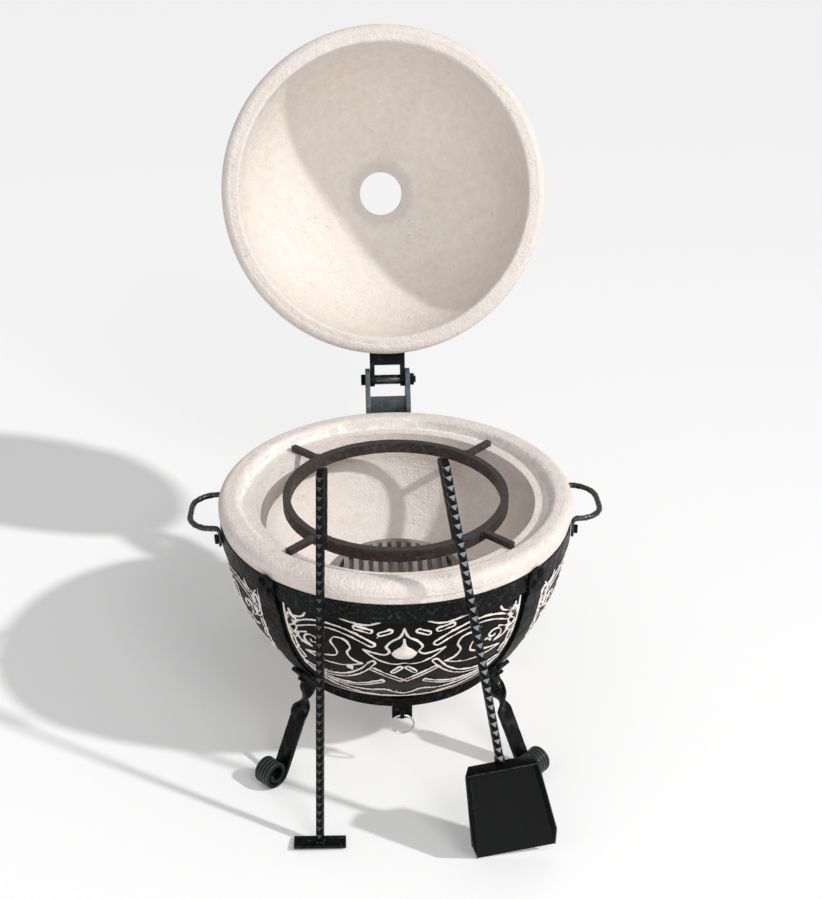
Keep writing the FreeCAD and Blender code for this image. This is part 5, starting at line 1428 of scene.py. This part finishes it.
class GRILL_OT_fasteners(bpy.types.Operator):
    """Rivets, bolts and nuts, one good head of each kind repeated"""
    bl_idname = "grill.fasteners"
    bl_label = "Rivets and bolts"

    def execute(self, context):
        size = bars()
        outer = HOOP_RADIUS + SEAT
        height = (HOOP_LOW + HOOP_TOP) / 2
        rivets = []
        for corner, degrees in CORNERS.items():
            lean = 1 if corner in ("back_left", "front_right") else -1
            rivets += [self.on_hoop(degrees, outer + size["strap_thick"], lean * 8 * sign,
                                    height + 6 * sign) for sign in (1, -1)]
        head = lathe("rivet", [(3.4, -6), (3.4, -0.4), (6.7, -0.4), (7.0, 0.5), (6.4, 1.8),
                               (5.2, 2.7), (3.4, 3.2), (1.6, 3.4)], "bolt")
        for vertex in head.data.vertices:   # hammer facets on the dome
            if vertex.co.z > 0:
                vertex.co *= 1 - 0.045 * noise.voronoi(vertex.co * 400)[0][0]
        self.repeat("hoop_rivets", head, rivets, "forged_iron")
        angle = math.degrees(math.asin(size["handle_spread"] / outer))
        on_tabs = [self.on_hoop(degrees, outer + TAB_THICK, 0, HANDLE_BOLT_HEIGHT)
                   for degrees in (-angle, angle, 180 - angle, 180 + angle)]
        for node, spots in (("leg_bolts", self.on_legs(size, context.scene.relief_sizes)),
                            ("handle_bolts", on_tabs)):
            self.repeat(node, hex_head(7.5, 5.3, 4.0, "bolt"), spots, "fastener_steel")
        for node, width, body in (("hinge_bolt", 0.5, "stand"), ("hinge_nut", 0.5, "stand"),
                                  ("cover_pivot", 0.5, "lid_body"), ("rail_screws", 0.2, "stand")):
            softened(node, "bolt", width, body, "fastener_steel")
        return {"FINISHED"}

    def on_hoop(self, degrees, radius, across, height):
        """Place and facing of a head on the hoop."""
        a = math.radians(degrees)
        out = np.array((math.cos(a), math.sin(a), 0))
        side = np.array((-math.sin(a), math.cos(a), 0))
        return out * radius + side * across + np.array((0, 0, height)), out

    def on_legs(self, size, relief):
        """Places and facings of the bolts, square to the belly through each lap."""
        reach = SEAT + size["strap_thick"] + SEAT + size["leg_thick"]
        arc, level = relief.belly_arc * 1000, relief.belly_height * 1000
        drop = size["leg_bolt"] - level
        out = np.array((math.sqrt(arc ** 2 - drop ** 2), drop)) / arc
        spot = np.array((-relief.belly_in * 1000, level)) + out * (arc + reach)
        return [tuple((pair[0] * math.cos(a), pair[0] * math.sin(a), pair[1])
                      for pair in (spot, out)) for a in map(math.radians, CORNERS.values())]

    def repeat(self, node, head, spots, slot):
        places, aims = zip(*spots)
        mesh = bpy.data.meshes.new("points")
        mesh.from_pydata([tuple(p) for p in in_place(places)], [], [])
        layer = mesh.attributes.new("aim", "FLOAT_VECTOR", "POINT")
        layer.data.foreach_set("vector", np.asarray(aims, dtype=np.float32).ravel())
        obj = grown(f"{node}_finished", added("points", mesh), repeat_group, "bolt", piece=head,
                    seed=11)
        bpy.data.objects.remove(head)
        fit(obj, "stand", slot, node)


class GRILL_OT_hinge(bpy.types.Operator):
    """Hinge plates with broken edges and their welds"""
    bl_idname = "grill.hinge"
    bl_label = "Hinge and plates"

    def execute(self, context):
        for node, finish, width, body, slot in (
                ("hinge_bracket", "hinge", 0.8, "stand", "hinge_steel"),
                ("lid_bracket", "hinge_dark", 0.8, "lid_body", "hinge_steel"),
                ("hinge_sleeve", "sleeve", 0.5, "lid_body", "hinge_steel"),
                ("base_hoop", "black", 0.7, "stand", "forged_iron"),
                ("vent_collar", "black", 0.7, "lid_body", "forged_iron"),
                ("vent_cover", "black", 0.8, "vent_cover_body", "forged_iron"),
                ("air_damper", "black_fine", 0.5, "damper_body", "forged_iron"),
                ("damper_rail_right", "rail", 0.3, "stand", "rail_steel"),
                ("damper_rail_left", "rail", 0.3, "stand", "rail_steel")):
            softened(node, finish, width, body, slot)
        softened("charcoal_grate", "grate", 1.1, "grate_body", "grate_iron", angle=50)
        heights = np.linspace(HOOP_LOW + 1, HOOP_TOP, 8)
        lines = [[(x, math.sqrt(HOOP_RADIUS ** 2 - x ** 2) + 0.8, z) for z in heights]
                 for x in (-39, -31, 31, 39)]
        seam("hinge_beads", lines, 1.6, "hinge", "stand", "hinge_steel")
        return {"FINISHED"}


class GRILL_OT_cauldron_ring(bpy.types.Operator):
    """Rolled ring with its four welded arms"""
    bl_idname = "grill.cauldron_ring"
    bl_label = "Cauldron ring"

    def execute(self, context):
        bottom, top = box_mm("cauldron_ring")[:, 2]
        outer = radius_of("cauldron_ring")
        rail = hoop_rail(outer - RING_BAR / 2, (top + bottom) / 2, 420)
        section = bar_section(top - bottom, RING_BAR, 1.3, across=8, up=5)
        ring = sweep("cauldron_ring_rolled", rail, section, "ring", True, dent=13, depth=0.35)
        fit(ring, "cauldron_ring_body", "ring_iron", "cauldron_ring")
        lines = []
        for corner, degrees in CORNERS.items():
            node = f"ring_arm_{corner}"
            low, high = box_mm(node)[:, 2]
            x = np.arange(outer + 0.2, ARM_END, 1.4)
            place = upright(np.stack([x, np.full_like(x, (low + high) / 2)], axis=1))
            arm = sweep(f"{node}_cut", (place, ACROSS, UP),
                        bar_section(10, high - low, 0.9, across=5, up=5), "ring", dent=9,
                        depth=0.25, turn=turned_about_axis(degrees))
            fit(arm, "cauldron_ring_body", "ring_iron", node)
            spin = np.array(Matrix.Rotation(math.radians(degrees), 3, "Z"))
            edge = [(outer + 0.4, -5.4, low + 1), (outer + 0.4, -5.4, high - 0.4),
                    (outer + 0.6, 5.4, high - 0.4), (outer + 0.4, 5.4, low + 1)]
            lines.append(np.array(edge) @ spin.T)
        seam("ring_beads", lines, 1.7, "ring", "cauldron_ring_body", "ring_iron")
        return {"FINISHED"}


class GRILL_OT_tools(bpy.types.Operator):
    """Rake and shovel on studded bars"""
    bl_idname = "grill.tools"
    bl_label = "Fire tools"

    def execute(self, context):
        size = bars()
        noise.seed_set(5)
        tool = context.scene.tool_sizes
        rake = self.stance(-tool.rake_side, tool.rake_front, tool.rake_tilt, tool.rake_lean, 0,
                           [(x, y, -4) for x in (-38, 38) for y in (-13, 13)])
        self.rod("rake_rod", 42, -18, rake, "rake_body", size, "stud")
        softened("rake_blade", "black_fine", 0.7, "rake_body", "forged_iron")
        ring = [(5.6 * x, 5.6 * y, 0.8) for x, y in ((-1, -1), (1, -1), (1, 1), (-1, 1), (-1, -1))]
        seam("rake_bead", [ring], 1.5, "black_fine", "rake_body", "forged_iron", self.local(rake))
        length = tool.pan * 1000
        wide = tool.pan_lip * 500
        floor = size["bar"] / 2 + size["stud"] + 0.4
        shovel = self.stance(
            tool.shovel_side, tool.shovel_front, tool.shovel_tilt, tool.shovel_lean, length,
            [(x, y, -length) for x in (-wide, wide) for y in (floor - 24, floor, floor + 1.6)])
        self.rod("shovel_rod", 33, 18, shovel, "shovel_body", size, "stud_bright_highlight")
        softened("shovel_pan", "pan", 0.55, "shovel_body", "forged_iron",
                 shaped=lambda form: self.folded(form, shovel, floor, length))
        ring = [(x, floor - 0.6, z) for x, z in ((-6, -1.6), (-6, 8), (6, 8), (6, -1.6))]
        seam("shovel_bead", [ring], 1.4, "black_fine", "shovel_body", "forged_iron",
             self.local(shovel))
        return {"FINISHED"}

    def folded(self, form, stance, floor, length):
        """Cut the walls' ends at a slant and lean the walls out, as a hand-folded pan has them."""
        back = stance.inverted()
        place = stance @ (Vector((0, floor - 1.0, -length)) * MM)
        away = (stance.to_3x3() @ Vector((0, -42, -24))).normalized()
        cut = bmesh.ops.bisect_plane(form, geom=form.verts[:] + form.edges[:] + form.faces[:],
                                     plane_co=place, plane_no=away, clear_outer=True)
        edges = [item for item in cut["geom_cut"] if isinstance(item, bmesh.types.BMEdge)]
        bmesh.ops.holes_fill(form, edges=edges, sides=0)
        for vertex in form.verts:
            spot = back @ vertex.co
            spot.x *= 1 + 6.0 * max(0.0, floor * MM - spot.y)
            vertex.co = stance @ spot

    def local(self, stance):
        """Turn for a mesh that in_place has already moved to the bowl's axis."""
        return stance @ Matrix.Translation((0, -AXIS_Y, 0))

    def stance(self, side, front, tilt, lean, rise, feet):
        """Turn of a tool that leans towards the bowl, with its lowest foot on the floor."""
        turn = (Matrix.Translation((side, AXIS_Y - front, 0))
                @ Matrix.Rotation(-lean, 4, "X") @ Matrix.Rotation(tilt, 4, "Y")
                @ Matrix.Translation((0, 0, rise * MM)))
        low = min((turn @ (Vector(foot) * MM)).z for foot in feet)
        return Matrix.Translation((0, 0, -low)) @ turn

    def rod(self, node, studs, turn, stance, body, size, finish):
        """Studded square bar, a hammered pyramid on each side of every length, with its hook."""
        half, rise, pitch = size["bar"] / 2, size["stud"], size["pitch"]
        spun = stance @ Matrix.Rotation(math.radians(turn), 4, "Z")
        corners = [(half, -half), (half, half), (-half, half), (-half, -half)]
        points = [(x, y, level * pitch) for level in range(studs + 1) for x, y in corners]
        faces = [(3, 2, 1, 0), tuple(4 * studs + k for k in range(4))]
        for level in range(studs):
            for side in range(4):
                low, after = 4 * level + side, 4 * level + (side + 1) % 4
                ring = (low, after, after + 4, low + 4)
                peak = [sum(points[k][axis] for k in ring) / 4 for axis in range(3)]
                shift = noise.random_unit_vector() * 0.35
                push = 1 + (rise - abs(shift.x) * 0.4) / half
                points.append((peak[0] * push + shift.y * 0.5, peak[1] * push + shift.y * 0.5,
                               peak[2] + shift.z))
                faces += [(*pair, len(points) - 1) for pair in zip(ring, ring[1:] + ring[:1])]
        shaft = mesh_object(f"{node}_studded", np.asarray(points) * MM, faces, finish,
                            smooth=False)
        reshaped(shaft.data, lambda form: bmesh.ops.bevel(
            form, geom=form.edges[:], offset=0.00028, segments=2, profile=0.5, affect="EDGES",
            clamp_overlap=True))
        shaft.data.transform(spun)
        face_outward(shaft)
        fit(shaft, body, "forged_iron", node)
        top, step = studs * pitch, 2 * half + 3
        corners = [(0, 0, top - 0.5), (0, 0, top + half), (0, step, top + half),
                   (0, step, top - 8 * pitch)]
        rail = carried(rounded_path(corners, [0, 3.2, 3.2, 0], 1.2), (1, 0, 0))
        hook = sweep(f"{node}_hook", rail, bar_section(2 * half, 2 * half, 0.9, across=5, up=5),
                     "black_fine", dent=8, depth=0.3, turn=self.local(spun))
        fit(hook, body, "forged_iron", node)


class GRILL_OT_stage(bpy.types.Operator):
    """Camera, lamps, sky and pale floor"""
    bl_idname = "grill.stage"
    bl_label = "Stage"

    def execute(self, context):
        scene = context.scene
        stage = scene.stage_sizes
        scene.view_settings.view_transform = "Standard"
        lens = bpy.data.cameras.new("camera")
        lens.lens = stage.focal
        lens.sensor_width = 36
        camera = added("camera", lens)
        place = Vector(stage.camera_place) + Vector((0, AXIS_Y, 0))
        turn = Matrix.Rotation(-stage.camera_turn, 4, "Z") @ Matrix.Rotation(
            math.pi / 2 - stage.camera_fall, 4, "X")
        camera.matrix_world = Matrix.Translation(place) @ turn
        scene.camera = camera
        for name, place, size, power in (
                ("key", (0.9, -2.2, 2.5), (0.9, 0.9), stage.key_power),
                ("front", (0.2, -4.2, 0.55), (3.4, 0.6), stage.front_power)):
            lamp = bpy.data.lights.new(name, "AREA")
            lamp.shape = "RECTANGLE"
            lamp.size, lamp.size_y = size
            lamp.energy = power
            self.aim(lamp, place, (0, 0, 0.35))
        sun = bpy.data.lights.new("sun", "SUN")
        sun.energy = stage.sun
        sun.angle = stage.sun_width
        self.aim(sun, (2.18, -0.97, 2.0), (0, 0, 0))
        self.sky(scene)
        half = 16.0
        points = [(-half, -half, 0), (half, -half, 0), (half, half, 0), (-half, half, 0)]
        mesh_object("floor", points, [(0, 1, 2, 3)], "floor", smooth=False)
        return {"FINISHED"}

    def aim(self, lamp, spot, target):
        turn = (Vector(target) - Vector(spot)).to_track_quat("-Z", "Y")
        added(lamp.name, lamp).matrix_world = Matrix.Translation(spot) @ turn.to_matrix().to_4x4()

    def sky(self, scene):
        """White to the camera, and a weaker white to everything else."""
        scene.world = bpy.data.worlds.new("sky")
        scene.world.use_nodes = True
        tree = scene.world.node_tree
        ground = tree.nodes["Background"].inputs
        strength = scene.stage_sizes.sky
        feed(ground["Color"], (1, 1, 1, 1))
        feed(ground["Strength"], seen_by_camera(tree) * (1 - strength) + strength)


class GRILL_PT_panel(bpy.types.Panel):
    """Lists the steps that dress the grill"""
    bl_idname = "GRILL_PT_panel"
    bl_label = "Kamado grill"
    bl_space_type = "VIEW_3D"
    bl_region_type = "UI"
    bl_category = "Grill"

    def draw(self, context):
        for step in STEPS:
            self.layout.operator(step.bl_idname)


PROPERTIES = (("clay_finish", ClayFinish), ("iron_finish", IronFinish),
              ("relief_sizes", ReliefSizes), ("bar_sizes", BarSizes),
              ("tool_sizes", ToolSizes), ("stage_sizes", StageSizes))
STEPS = (GRILL_OT_finishes, GRILL_OT_relief, GRILL_OT_hoops, GRILL_OT_legs, GRILL_OT_handles,
         GRILL_OT_fasteners, GRILL_OT_hinge, GRILL_OT_cauldron_ring, GRILL_OT_tools,
         GRILL_OT_stage)


def register():
    for name, group in PROPERTIES:
        bpy.utils.register_class(group)
        setattr(bpy.types.Scene, name, PointerProperty(type=group))
    for step in (*STEPS, GRILL_PT_panel):
        bpy.utils.register_class(step)


def unregister():
    for step in reversed((*STEPS, GRILL_PT_panel)):
        bpy.utils.unregister_class(step)
    for name, group in reversed(PROPERTIES):
        delattr(bpy.types.Scene, name)
        bpy.utils.unregister_class(group)


def main():
    register()
    for step in STEPS:
        group, name = step.bl_idname.split(".")
        getattr(getattr(bpy.ops, group), name)()


if __name__ == "__main__":
    main()
